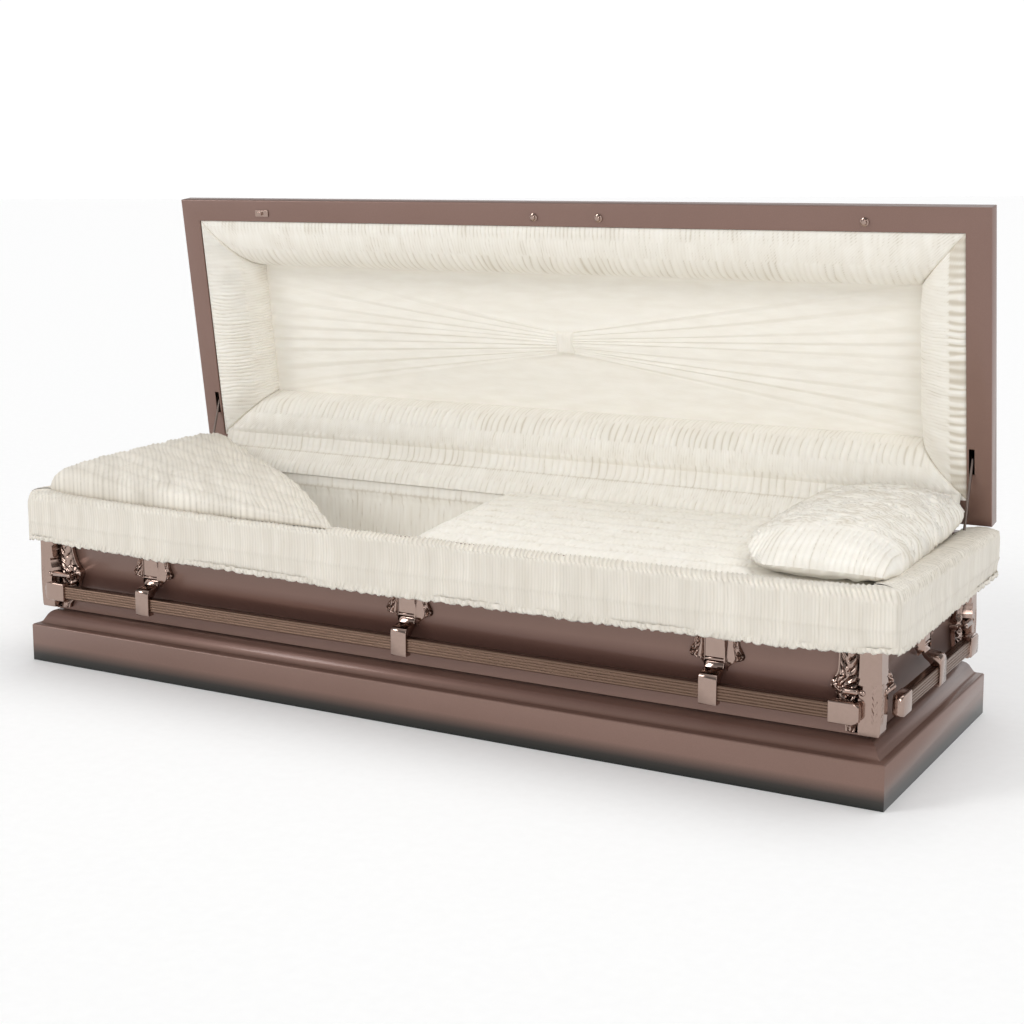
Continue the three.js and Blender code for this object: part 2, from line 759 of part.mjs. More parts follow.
// Bed frame: two side rails that follow the mattress, cross slats and legs down to the floor pan
function bedFrame() {
  const railAt = 232;
  const low = BED_LOW - MATTRESS_THICK - 2;
  const high = BED_TOP - MATTRESS_THICK - 2;
  const topLine = [[-970, low], [-238, low], [-148, low + 50], [-68, high - 30], [-8, high], [970, high]];
  const rail = [...topLine, ...[...topLine].reverse().map(([x, z]) => [x, z - 22])];
  const pieces = [-1, 1].map((side) => {
    const loops = [railAt - 11, railAt + 11].map((y) => rail.map(([x, z]) => vec(x, side * y, z)));
    return loft(loops, rail);
  });
  const lowSlats = [-950, -620, -300].map((x) => [x, low]);
  const highSlats = [20, 340, 650, 950].map((x) => [x, high]);
  for (const [x, top] of [...lowSlats, ...highSlats]) {
    pieces.push(block(x - 14, x + 14, -railAt, railAt, top - 18, top - 4));
  }
  for (const [x, top] of [[-950, low], [-300, low], [20, high], [950, high]]) {
    for (const side of [-1, 1]) {
      pieces.push(block(x - 11, x + 11, side * railAt - 9, side * railAt + 9, SHEET + GAP, top - 6));
    }
  }
  return joined(pieces);
}

function softCushion(centre, half, power, columns, rows) {
  const curve = (v) => Math.sign(v) * Math.abs(v) ** power;
  const pole = (sign) => vec(centre[0], centre[1], centre[2] + sign * half[2]);
  const points = [pole(-1)];
  for (let i = 1; i < rows; i += 1) {
    const phi = -Math.PI / 2 + (Math.PI * i) / rows;
    for (let k = 0; k < columns; k += 1) {
      const theta = (2 * Math.PI * k) / columns;
      const wide = curve(Math.cos(phi));
      points.push(vec(
        centre[0] + half[0] * wide * curve(Math.cos(theta)),
        centre[1] + half[1] * wide * curve(Math.sin(theta)),
        centre[2] + half[2] * Math.sin(phi),
      ));
    }
  }
  points.push(pole(1));
  const last = points.length - 1;
  const faces = [];
  for (let k = 0; k < columns; k += 1) {
    const next = (k + 1) % columns;
    faces.push([0, 1 + next, 1 + k]);
    faces.push([last, last - columns + k, last - columns + next]);
    for (let i = 0; i < rows - 2; i += 1) {
      const a = 1 + i * columns + k;
      const b = 1 + i * columns + next;
      faces.push([a, b, b + columns], [a, b + columns, a + columns]);
    }
  }
  return solidFrom(points, faces);
}

const PILLOW_CENTRE = [868, -10, 458];
const PILLOW_HALF = [160, 283, 44];

function headPillow() {
  return softCushion(PILLOW_CENTRE, PILLOW_HALF, 0.5, 20, 8);
}

// Folded throw over the foot end: a thick wedge of cloth with a diagonal edge
function footThrow() {
  const corners = [
    [-994, -300, 458], [-940, -318, 452], [-240, -318, 424], [-190, -300, 421],
    [-420, -110, 428], [-640, 40, 436], [-930, 262, 470], [-980, 272, 482], [-1000, 240, 484],
  ];
  const under = SKIRT_CREST + 1;
  const ring = (shrink, height) => corners.map(([x, y, top]) => {
    const z = under + (top - under) * height;
    return vec(-760 + (x + 760) * shrink, -120 + (y + 120) * shrink, z);
  });
  const loops = [ring(0.985, 0), ring(1, 0.3), ring(1, 0.75), ring(0.985, 1)];
  return loft(loops, corners);
}

// Assembly

const casket = new THREE.Group();
casket.name = 'casket';

function piece(group, name, geometry, material) {
  const mesh = new THREE.Mesh(geometry, material.clone());
  mesh.name = name;
  group.add(mesh);
  return mesh;
}

piece(casket, 'base_moulding', baseMoulding(), PAINT);
piece(casket, 'body_shell', bodyShell(), PAINT);

// A side group is turned to its side of the casket and moved out to it
function sideGroup(index) {
  const turned = new THREE.Group();
  turned.rotation.z = (index * Math.PI) / 2;
  const out = new THREE.Group();
  out.position.y = index % 2 === 1 ? -END_OFFSET : 0;
  turned.add(out);
  casket.add(turned);
  return out;
}

SIDE_NAMES.forEach((name, index) => {
  const group = sideGroup(index);
  const long = index % 2 === 0;
  const half = long ? LONG_BAR_HALF : END_BAR_HALF;
  const places = long ? LONG_ARM_PLACES : [0];
  const turned = index === 2 ? places.map((x) => -x).reverse() : places;
  piece(group, `handle_bar_${name}`, bar(half), BAR_METAL);
  for (const [label, side] of [['a', -1], ['b', 1]]) {
    piece(group, `bar_tip_${name}_${label}`, barTip(half, side), PLATING);
  }
  turned.forEach((x, i) => {
    const suffix = long ? `_${i + 1}` : '';
    piece(group, `handle_arm_${name}${suffix}`, arm(x), PLATING);
    piece(group, `handle_lug_${name}${suffix}`, lug(), PLATING).position.x = x;
  });
});

// Corner castings: the plan is square, so each is turned and then moved along X to its corner
const CORNERS = [
  ['front_left', 0, -1, 128],
  ['front_right', 1, 1, 106],
  ['back_right', 2, 1, 128],
  ['back_left', 3, -1, 106],
];
for (const [name, turns, side, reach] of CORNERS) {
  const mesh = piece(casket, `corner_casting_${name}`, cornerCasting(reach), PLATING);
  mesh.rotation.z = (turns * Math.PI) / 2;
  mesh.position.x = side * END_OFFSET;
}

piece(casket, 'hinge_leaf_body', bodyHingeLeaf(), STEEL);
for (const [label, side] of [['left', -1], ['right', 1]]) {
  piece(casket, `stay_bracket_${label}`, stayBracket(side), STEEL);
  piece(casket, `lid_stay_${label}`, stay(side), PLATING);
}

piece(casket, 'bed_frame', bedFrame(), STEEL);
piece(casket, 'mattress', mattress(), CREPE);
piece(casket, 'body_lining', bodyLining(), CREPE);
for (const [name, geometry] of skirts()) {
  piece(casket, name, geometry, CREPE);
}
piece(casket, 'hinge_cover_roll', hingeCoverRoll(), CREPE);
piece(casket, 'head_pillow', headPillow(), CREPE);
piece(casket, 'foot_throw', footThrow(), CREPE);

// The lid is drawn closed and then turned open about the hinge line
const lid = new THREE.Group();
lid.position.set(0, HINGE_Y, HINGE_Z);
lid.rotation.x = -THREE.MathUtils.degToRad(90 - LID_LEAN_DEG);
casket.add(lid);

piece(lid, 'lid_shell', lidShell(), PAINT);
piece(lid, 'hinge_leaf_lid', lidHingeLeaf(), STEEL);
for (const [name, geometry] of lidRolls()) {
  piece(lid, name, geometry, CREPE);
}
piece(lid, 'lid_panel', lidPanel(), CREPE);
piece(lid, 'lid_panel_band', lidPanelBand(), CREPE);
CATCH_PLACES.forEach((x, i) => piece(lid, `lid_catch_${i + 1}`, lidCatch(x), PLATING));
piece(lid, 'lid_latch_plate', lidLatchPlate(), PLATING);

export default casket;
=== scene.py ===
"""A full-couch metal casket, its lid open, dressed in shirred ivory crepe."""
import math

import bmesh
import bpy
import numpy as np
from mathutils import Matrix, Vector


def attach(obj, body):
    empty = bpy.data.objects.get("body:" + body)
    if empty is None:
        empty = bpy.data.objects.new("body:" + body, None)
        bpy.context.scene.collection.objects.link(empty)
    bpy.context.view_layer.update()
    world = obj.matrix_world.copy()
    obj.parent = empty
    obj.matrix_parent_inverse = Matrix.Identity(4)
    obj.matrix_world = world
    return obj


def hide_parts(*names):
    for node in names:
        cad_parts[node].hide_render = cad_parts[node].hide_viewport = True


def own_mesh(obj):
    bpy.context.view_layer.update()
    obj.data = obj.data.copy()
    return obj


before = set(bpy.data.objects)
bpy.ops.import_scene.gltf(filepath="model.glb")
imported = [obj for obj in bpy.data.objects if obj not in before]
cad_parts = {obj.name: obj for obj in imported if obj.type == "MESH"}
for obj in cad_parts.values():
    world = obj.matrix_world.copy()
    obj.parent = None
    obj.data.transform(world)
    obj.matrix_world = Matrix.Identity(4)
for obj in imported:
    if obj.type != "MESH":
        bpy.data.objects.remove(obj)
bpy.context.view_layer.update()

# Sizes in millimetres, in the same frame as the solid model
MM = 0.001
LENGTH = 2108
WIDTH = 686
END_OFFSET = (LENGTH - WIDTH) / 2
HINGE_Y = 351
HINGE_Z = 400
LID_HALF_X = 1057
LID_TOP_V = 694
LID_OPEN = math.radians(82.05)
PANEL_INSETS = {"front": 181, "right": 171, "back": 155, "left": 171}
PANEL_DEPTH = 105
PANEL_MIDDLE_V = 338
BED_TOP = 400

# Noise and cloth folds

# Odd factors that scatter the lattice's whole numbers
HASH_X = 374761393
HASH_Y = 668265263
HASH_SEED = 144665
HASH_MIX = 1274126177


def smooth(t):
    """A soft step: 0 up to t = 0, 1 from t = 1."""
    t = np.clip(t, 0, 1)
    return t * t * (3 - 2 * t)


def lattice(ix, iy, seed):
    """A fixed pseudo-random number from 0 to 1 for each whole (ix, iy)."""
    mask = 0xFFFFFFFF
    h = (ix.astype(np.int64) * HASH_X + iy.astype(np.int64) * HASH_Y + seed * HASH_SEED) & mask
    h = ((h ^ (h >> 13)) * HASH_MIX) & mask
    return ((h ^ (h >> 16)) & 0xFFFFFF) / float(0xFFFFFF)


def noise(x, y, seed):
    """Smooth noise from 0 to 1 between the lattice's numbers."""
    x, y = np.broadcast_arrays(np.asarray(x, float), np.asarray(y, float))
    ix, iy = np.floor(x), np.floor(y)
    fx, fy = smooth(x - ix), smooth(y - iy)
    low = lattice(ix, iy, seed) * (1 - fx) + lattice(ix + 1, iy, seed) * fx
    high = lattice(ix, iy + 1, seed) * (1 - fx) + lattice(ix + 1, iy + 1, seed) * fx
    return low * (1 - fy) + high * fy


def folds(u, v, pitch, run, seed, wander=0.5, regular=0.5):
    """Gathered cloth, 0 in the valleys to 1 on the ridges: rounded ridges across u, drifting along v."""
    drift = (noise(u / (4 * pitch), v / run, seed) - 0.5) * 2 * wander
    fine = (noise(u / (1.3 * pitch), v / (0.6 * run), seed + 5) - 0.5) * wander
    phase = u / pitch + drift + fine
    ridge = np.abs(np.sin(math.pi * phase)) ** 0.7
    loose = np.abs(2 * noise(u / (0.8 * pitch) + drift, v / run + 3.3, seed + 9) - 1) ** 0.8
    depth = 0.6 + 0.8 * noise(u / (3 * pitch), v / run, seed + 13)
    return (regular * ridge + (1 - regular) * loose) * depth


def near(x, at, width):
    """1 where x is at, falling to 0 about two widths away."""
    return np.exp(-(((x - at) / width) ** 2))


# Meshes


def normals_of(p):
    """Unit normals of a grid of points."""
    n = np.cross(np.gradient(p, axis=0), np.gradient(p, axis=1))
    return n / np.maximum(np.linalg.norm(n, axis=2, keepdims=True), 1e-9)


def new_mesh(name, points, quads):
    """A smooth-shaded mesh object from points in millimetres and quads."""
    mesh = bpy.data.meshes.new(name)
    mesh.vertices.add(len(points))
    mesh.vertices.foreach_set("co", (np.asarray(points, float) * MM).astype(np.float32).ravel())
    quads = np.asarray(quads, np.int32)
    mesh.loops.add(quads.size)
    mesh.loops.foreach_set("vertex_index", quads.ravel())
    mesh.polygons.add(len(quads))
    mesh.polygons.foreach_set("loop_start", np.arange(0, quads.size, 4, dtype=np.int32))
    mesh.polygons.foreach_set("use_smooth", np.ones(len(quads), bool))
    mesh.update(calc_edges=True)
    obj = bpy.data.objects.new(name, mesh)
    bpy.context.scene.collection.objects.link(obj)
    return obj


def set_painted_shade(obj, values):
    """Painted shade of each point, kept as its fold attribute: 0 darkest, in the valleys and hollows, 1
    lightest, on the ridges.
    """
    layer = obj.data.attributes.new("fold", "FLOAT", "POINT")
    layer.data.foreach_set("value", np.clip(values, 0, 1).astype(np.float32).ravel())


def set_cloth_uv(obj, u, v):
    """Cloth coordinates in metres: u across the folds, v along them."""
    uv = obj.data.uv_layers.new(name="cloth")
    index = np.empty(len(obj.data.loops), np.int32)
    obj.data.loops.foreach_get("vertex_index", index)
    both = np.stack([u.ravel(), v.ravel()], axis=1) * MM
    uv.data.foreach_set("uv", both[index].astype(np.float32).ravel())


def grid_quads(nu, nv, wrap_v=False):
    """The quads of a grid of nu by nv points; wrap_v joins its last column to its first."""
    i = np.arange(nu - 1)[:, None]
    j = np.arange(nv if wrap_v else nv - 1)[None, :]
    jn = (j + 1) % nv
    corners = (i * nv + j, (i + 1) * nv + j, (i + 1) * nv + jn, i * nv + jn)
    return np.stack(np.broadcast_arrays(*corners), axis=-1).reshape(-1, 4)


def cloth_grid(name, p, height, u, v, fold, flip=False, wrap_v=False):
    """A sheet over the points p, raised along its normals, with its painted fold shade and cloth
    directions.
    """
    if wrap_v:
        n = normals_of(np.concatenate([p[:, -3:], p, p[:, :3]], axis=1))[:, 3:-3]
    else:
        n = normals_of(p)
    if flip:
        n = -n
    p = p + n * height[..., None]
    quads = grid_quads(*p.shape[:2], wrap_v)
    if flip:
        quads = quads[:, ::-1]
    obj = new_mesh(name, p.reshape(-1, 3), quads)
    set_painted_shade(obj, fold)
    set_cloth_uv(obj, u, v)
    return obj


WELD_METRES = 2e-5


def weld(obj):
    """Joins the points that lie on each other, at a closed end or along a joint of two strips."""
    b = bmesh.new()
    b.from_mesh(obj.data)
    bmesh.ops.remove_doubles(b, verts=b.verts, dist=WELD_METRES)
    b.to_mesh(obj.data)
    b.free()
    return obj


# The lid's plane lies this far from the hinge's middle
LID_SEAT = 0.5


def lid_point(u, v, h):
    """From the lid's plane (u along, v up from the hinge, h into the lid) to the frame."""
    u, v, h = np.broadcast_arrays(u, v, h)
    y = HINGE_Y - v * math.cos(LID_OPEN) + (h - LID_SEAT) * math.sin(LID_OPEN)
    z = HINGE_Z + v * math.sin(LID_OPEN) + (h - LID_SEAT) * math.cos(LID_OPEN)
    return np.stack([u, y, z], axis=-1)


# Materials


def set_stops(ramp, stops):
    """Gives a colour ramp its stops, each (place, colour)."""
    while len(ramp.color_ramp.elements) < len(stops):
        ramp.color_ramp.elements.new(0.5)
    for element, (at, colour) in zip(ramp.color_ramp.elements, stops):
        element.position = at
        element.color = (*colour, 1)


# Places of the Mix node's colour sockets, which share their names with its other sockets
MIX_A = 6
MIX_B = 7
MIX_RESULT = 2


def colour_socket(node):
    """The output of a node that carries its colour."""
    return node.outputs[MIX_RESULT if node.bl_idname == "ShaderNodeMix" else "Color"]


class Nodes:
    """A principled material and short ways to add nodes to it."""

    def __init__(self, name):
        self.material = bpy.data.materials.new(name)
        self.material.use_nodes = True
        self.tree = self.material.node_tree
        self.tree.nodes.clear()
        self.shader = self.add("ShaderNodeBsdfPrincipled")
        self.output = self.add("ShaderNodeOutputMaterial")
        self.link(self.shader, "BSDF", self.output, "Surface")

    def add(self, kind, **values):
        node = self.tree.nodes.new(kind)
        for key, value in values.items():
            setattr(node, key, value)
        return node

    def link(self, a, out, b, into):
        self.tree.links.new(a.outputs[out], b.inputs[into])

    def ramp(self, source, out, stops):
        ramp = self.add("ShaderNodeValToRGB")
        set_stops(ramp, stops)
        self.link(source, out, ramp, "Fac")
        return ramp

    def times(self, a, b):
        """The product of the colours of two nodes."""
        mix = self.add("ShaderNodeMix", data_type="RGBA", blend_type="MULTIPLY")
        mix.inputs[0].default_value = 1.0
        for socket, node in ((MIX_A, a), (MIX_B, b)):
            self.tree.links.new(colour_socket(node), mix.inputs[socket])
        return mix

    def noise(self, coordinates, out, scale, detail, stretch=None):
        if stretch:
            mapping = self.add("ShaderNodeMapping")
            mapping.inputs["Scale"].default_value = stretch
            self.link(coordinates, out, mapping, "Vector")
            coordinates, out = mapping, "Vector"
        texture = self.add("ShaderNodeTexNoise")
        texture.inputs["Scale"].default_value = scale
        texture.inputs["Detail"].default_value = detail
        self.link(coordinates, out, texture, "Vector")
        return texture

    def bump(self, source, out, strength, distance):
        bump = self.add("ShaderNodeBump")
        bump.inputs["Strength"].default_value = strength
        bump.inputs["Distance"].default_value = distance
        self.link(source, out, bump, "Height")
        self.link(bump, "Normal", self.shader, "Normal")

    def colour(self, node):
        self.tree.links.new(colour_socket(node), self.shader.inputs["Base Color"])

    def plain(self, **values):
        """Values that are the same all over, set on the shader itself."""
        for key, value in values.items():
            self.shader.inputs[key.replace("_", " ")].default_value = value


def crepe_material(name, ridge, middle, valley):
    """Crinkled crepe: painted warm shade in the fold valleys, threads along the folds and soft slubs."""
    m = Nodes(name)
    fold = m.add("ShaderNodeAttribute", attribute_name="fold")
    # Painted shade: the fold attribute darkens the cloth towards the valley colour in its folds
    shade = m.ramp(fold, "Fac", [(0.0, valley), (0.35, middle), (1.0, ridge)])
    uv = m.add("ShaderNodeUVMap", uv_map="cloth")
    threads = m.noise(uv, "UV", 1.0, 3.0, stretch=(620, 90, 1))
    slubs = m.noise(uv, "UV", 1.0, 2.0, stretch=(60, 12, 1))
    tint = m.ramp(slubs, "Fac", [(0.3, (0.95, 0.94, 0.925)), (0.7, (1.0, 1.0, 1.0))])
    m.colour(m.times(shade, tint))
    m.bump(threads, "Fac", 0.35, 0.0012)
    m.plain(Roughness=0.62, Sheen_Weight=0.2, Sheen_Roughness=0.4, Subsurface_Weight=0.05)
    m.shader.inputs["Subsurface Radius"].default_value = (0.004, 0.003, 0.002)
    return m.material


def paint_material(name, stops, low, high):
    """Metallic enamel whose colour changes with height: stops are given over the heights low to high."""
    m = Nodes(name)
    place = m.add("ShaderNodeTexCoord")
    parts = m.add("ShaderNodeSeparateXYZ")
    m.link(place, "Object", parts, "Vector")
    span = m.add("ShaderNodeMapRange")
    span.inputs["From Min"].default_value = low
    span.inputs["From Max"].default_value = high
    m.link(parts, "Z", span, "Value")
    shade = m.ramp(span, "Result", stops)
    flake = m.noise(place, "Object", 900, 2)
    cloud = m.noise(place, "Object", 5, 3)
    glints = m.ramp(flake, "Fac", [(0.35, (0.9, 0.89, 0.88)), (0.65, (1.0, 1.0, 1.0))])
    clouds = m.ramp(cloud, "Fac", [(0.3, (0.95, 0.94, 0.93)), (0.7, (1.0, 1.0, 1.0))])
    m.colour(m.times(m.times(shade, glints), clouds))
    m.bump(flake, "Fac", 0.04, 0.0004)
    m.plain(Metallic=0.45, Roughness=0.38, Coat_Weight=0.35, Coat_Roughness=0.12)
    return m.material


def metal_material(name, colour, roughness, streaks, hollow_shade=None):
    """Plated or satin metal with a fine grain; the last argument, if given, is the colour of painted shade
    in the relief's hollows.
    """
    m = Nodes(name)
    place = m.add("ShaderNodeTexCoord")
    grain = m.noise(place, "Object", 1.0, 3, stretch=streaks)
    rough = m.ramp(grain, "Fac", [(0.2, (roughness * 0.7,) * 3), (0.8, (roughness * 1.4,) * 3)])
    tone = m.ramp(grain, "Fac", [(0.2, tuple(c * 0.9 for c in colour)), (0.8, colour)])
    if hollow_shade:
        # Painted shade: the fold attribute darkens the relief's hollows
        fold = m.add("ShaderNodeAttribute", attribute_name="fold")
        tone = m.times(tone, m.ramp(fold, "Fac", [(0.05, hollow_shade), (0.5, (1, 1, 1))]))
    m.colour(tone)
    m.link(rough, "Color", m.shader, "Roughness")
    m.bump(grain, "Fac", 0.05, 0.0003)
    m.plain(Metallic=1.0)
    return m.material


# Colours are in linear light
BROWN = (0.240, 0.142, 0.113)
SHADE_BROWN = (0.155, 0.078, 0.060)
BOTTOM_SHADE = (0.010, 0.014, 0.012)
# Painted shade: near black along the bottom of the base, where it meets the floor, and a darker band in
# the ogee's hollow near its top
BASE_PAINT = paint_material(
    "base_enamel",
    [(0.0, BOTTOM_SHADE), (0.14, (0.04, 0.034, 0.029)), (0.36, BROWN), (0.78, BROWN), (0.90, SHADE_BROWN), (1.0, BROWN)],
    0.0, 0.12)
# Painted shade: a darker band on the body's side behind and just above the handle bar
BODY_PAINT = paint_material(
    "body_enamel",
    [(0.0, BROWN), (0.28, SHADE_BROWN), (0.46, SHADE_BROWN), (0.60, BROWN), (1.0, BROWN)],
    0.12, 0.32)
LID_PAINT = paint_material("lid_enamel", [(0.0, BROWN), (1.0, (0.25, 0.15, 0.122))], 0.4, 1.1)
# Ridge, middle and valley colours; the darker valley colour is painted shade in the folds
CREPE = crepe_material("ivory_crepe", (0.93, 0.90, 0.83), (0.875, 0.84, 0.765), (0.63, 0.57, 0.47))
# A darker copy of the same ivory crepe: painted shade on the skirts and the throw
SHADED_CREPE = crepe_material("shaded_skirt_crepe", (0.88, 0.835, 0.75), (0.71, 0.665, 0.585),
                             (0.54, 0.495, 0.42))
PLATED = (0.41, 0.30, 0.255)
PLATING = metal_material("copper_plating", PLATED, 0.13, (120, 120, 120))
# Cast hardware, with painted shade in the hollows of its relief
RELIEF = metal_material("cast_relief", PLATED, 0.14, (150, 150, 150), hollow_shade=(0.05, 0.035, 0.03))
SATIN = (0.205, 0.132, 0.097)
BAR_METAL = metal_material("satin_bar", SATIN, 0.27, (6, 900, 900))
BAR_METAL_END = metal_material("satin_bar_end", SATIN, 0.27, (900, 6, 900))
STEEL = metal_material("plain_steel", (0.45, 0.45, 0.44), 0.35, (200, 200, 200))
STAY_METAL = metal_material("stay_metal", (0.16, 0.125, 0.11), 0.42, (300, 300, 300))


def paint(obj, material):
    """Makes one material the only one of an object."""
    obj.data.materials.clear()
    obj.data.materials.append(material)


def dress(obj, body, slot, material, *nodes):
    """Gives a piece its material and the body it rides on, and hides the nodes it stands for; slot is not
    used.
    """
    paint(obj, material)
    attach(obj, body)
    if nodes:
        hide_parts(*nodes)


# Camera, solved from the edges of the base: place in metres, angles in degrees, lens in millimetres
CAMERA_PLACE = (2.00574, -3.39759, 1.18141)
CAMERA_YAW = 29.56
CAMERA_DOWN = 8.55
CAMERA_ROLL = -0.18
CAMERA_LENS = 62.63
CAMERA_SHIFT = -0.080


def make_camera():
    """The camera at the photograph's viewing angle."""
    data = bpy.data.cameras.new("camera")
    data.lens = CAMERA_LENS
    data.sensor_width = 36
    data.shift_y = CAMERA_SHIFT
    data.clip_end = 60
    camera = bpy.data.objects.new("camera", data)
    bpy.context.scene.collection.objects.link(camera)
    yaw = Matrix.Rotation(math.radians(CAMERA_YAW), 4, "Z")
    tilt = Matrix.Rotation(math.radians(90 - CAMERA_DOWN), 4, "X")
    roll = Matrix.Rotation(math.radians(CAMERA_ROLL), 4, "Z")
    camera.matrix_world = Matrix.Translation(CAMERA_PLACE) @ (yaw @ tilt) @ roll
    bpy.context.scene.camera = camera


make_camera()

# Solids kept from the frame: the width of their rounded edges, and for paint also the angle

EDGE_WIDTHS = {"bar_tip": 1.4, "handle_arm": 1.2, "handle_bar": 0.5, "lid_catch": 0.5, "lid_latch": 0.6,
               "lid_stay": 0.4}
PAINTED = {"base_moulding": (BASE_PAINT, 0.8, 20), "body_shell": (BODY_PAINT, 0.6, 20),
           "lid_shell": (LID_PAINT, 0.8, 24)}


def ease_edges(node, width, angle=30):
    """Rounds the hard edges of a solid without moving its own points."""
    for polygon in node.data.polygons:
        polygon.use_smooth = True
    merge = node.modifiers.new("weld", "WELD")
    merge.merge_threshold = 1e-5
    bevel = node.modifiers.new("bevel", "BEVEL")
    bevel.width = width * MM
    bevel.segments = 2
    bevel.limit_method = "ANGLE"
    bevel.angle_limit = math.radians(angle)
    bevel.harden_normals = True


def finish_nodes():
    """Gives each CAD node its material, and rounds the edges of the hardware and the painted solids."""
    for name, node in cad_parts.items():
        kind = next((k for k in EDGE_WIDTHS if name.startswith(k)), None)
        if kind:
            ease_edges(node, EDGE_WIDTHS[kind])
            satin = BAR_METAL_END if name.endswith(("left", "right")) else BAR_METAL
            paint(node, {"handle_bar": satin, "lid_stay": STAY_METAL}.get(kind, PLATING))
        elif name in PAINTED:
            material, width, angle = PAINTED[name]
            ease_edges(node, width, angle)
            paint(node, material)
        elif name.startswith(("hinge_leaf", "stay_bracket", "bed_frame")):
            paint(node, STEEL)
        else:
            paint(node, CREPE)


finish_nodes()

# Cast relief on the lugs and corners


def closed_shell(rows, centre=None):
    """Equal loops with both ends drawn together at a point, so that the body they make is closed."""
    ends = []
    for row in (rows[0], rows[-1]):
        middle = row.mean(axis=0)
        if centre is not None:
            middle[:2] = centre
        ends.append(np.broadcast_to(middle, row.shape))
    return np.concatenate([ends[0][None], rows, ends[1][None]])


def turned_out(points, quads):
    """The quads with their faces pointing out."""
    a, b, c, d = (points[quads[:, k]] for k in range(4))
    volume = (a * np.cross(b, c)).sum() + (a * np.cross(c, d)).sum()
    return quads if volume > 0 else quads[:, ::-1]


SHARP_ANGLE = 42


class Casting:
    """Closed shells of one casting; each point is (along, out, height, relief), a low relief being painted
    dark as shade in the hollows.
    """

    def __init__(self, place):
        self.place = place
        self.points = []
        self.quads = []
        self.relief = []

    def shell(self, rows, centre=None):
        rows = closed_shell(rows, centre)
        points = self.place(rows[..., 0], rows[..., 1], rows[..., 2]).reshape(-1, 3)
        quads = turned_out(points, grid_quads(*rows.shape[:2], wrap_v=True))
        self.quads.append(quads + sum(len(p) for p in self.points))
        self.points.append(points)
        self.relief.append(rows[..., 3].ravel())

    def piece(self, name, node):
        obj = new_mesh(name, np.concatenate(self.points), np.concatenate(self.quads))
        set_painted_shade(obj, np.concatenate(self.relief))
        weld(obj)
        obj.data.set_sharp_from_angle(angle=math.radians(SHARP_ANGLE))
        dress(obj, "base", "plating", RELIEF, node)


def side_place(side, middle):
    """Places points given along, out from and up a side of the body."""
    def place(x, s, z):
        x, s, z = np.broadcast_arrays(x + middle, s, z)
        return {"front": np.stack([x, -s, z], -1), "right": np.stack([END_OFFSET + s, x, z], -1),
                "back": np.stack([-x, s, z], -1), "left": np.stack([-END_OFFSET - s, -x, z], -1)}[side]
    return place


def leaf_relief(along, across, pitch, seed):
    """Acanthus lobes to both sides of a stem, 0 to 1; across runs from -1 to 1."""
    out = np.abs(across)
    wander = 0.5 * (noise(along / pitch, across * 1.5, seed) - 0.5)
    phase = along / pitch - 0.9 * out + wander + 0.5 * (across > 0)
    lobe = np.abs(np.sin(math.pi * phase)) ** 0.75 * np.clip(1 - out ** 3, 0, 1)
    vein = 0.72 + 0.28 * np.abs(np.sin(3 * math.pi * phase))
    return np.clip(lobe * vein + 0.55 * near(across, 0, 0.16), 0, 1)


# Lugs: sizes across are measured from the lug's middle, out from the casket's middle, up from the floor
LUG_BACK = 301.3
LUG_TOP = 311
LUG_BOSS_FACE = 316
LUG_BOSS_BOTTOM = 232
LUG_HEIGHTS = [211, 218, 222, 231, 233.5, 236, 243, 250, 262, 280, LUG_TOP]
LUG_HALF_WIDTHS = [22.5, 23.5, 27, 38, 47, 55, 58, 55.5, 48, 44.5, 46]

# Where the leafy strip begins, for each height
LUG_STRIP_STARTS = ([211, 222, 231, 240, 262, 311], [26, 30, 37, 38, 34, 31])
VOLUTE = (50.3, 243)
VOLUTE_RADIUS = 7.8
VOLUTE_PITCH = 4.4


def loop_rows(x, out, z, relief, back, steps=5):
    """Rows of closed loops: along the face and back again along a flat back."""
    x, out, z, relief = np.broadcast_arrays(x, out, z, relief)
    t = np.linspace(0, 1, steps + 2)[None, 1:-1]
    back_x = x[:, -1:] + (x[:, :1] - x[:, -1:]) * t
    face = np.stack([x, out, z, relief], -1)
    rear = np.stack(np.broadcast_arrays(back_x, back, z[:, :1], 0.0), -1)
    return np.concatenate([face, rear], axis=1)


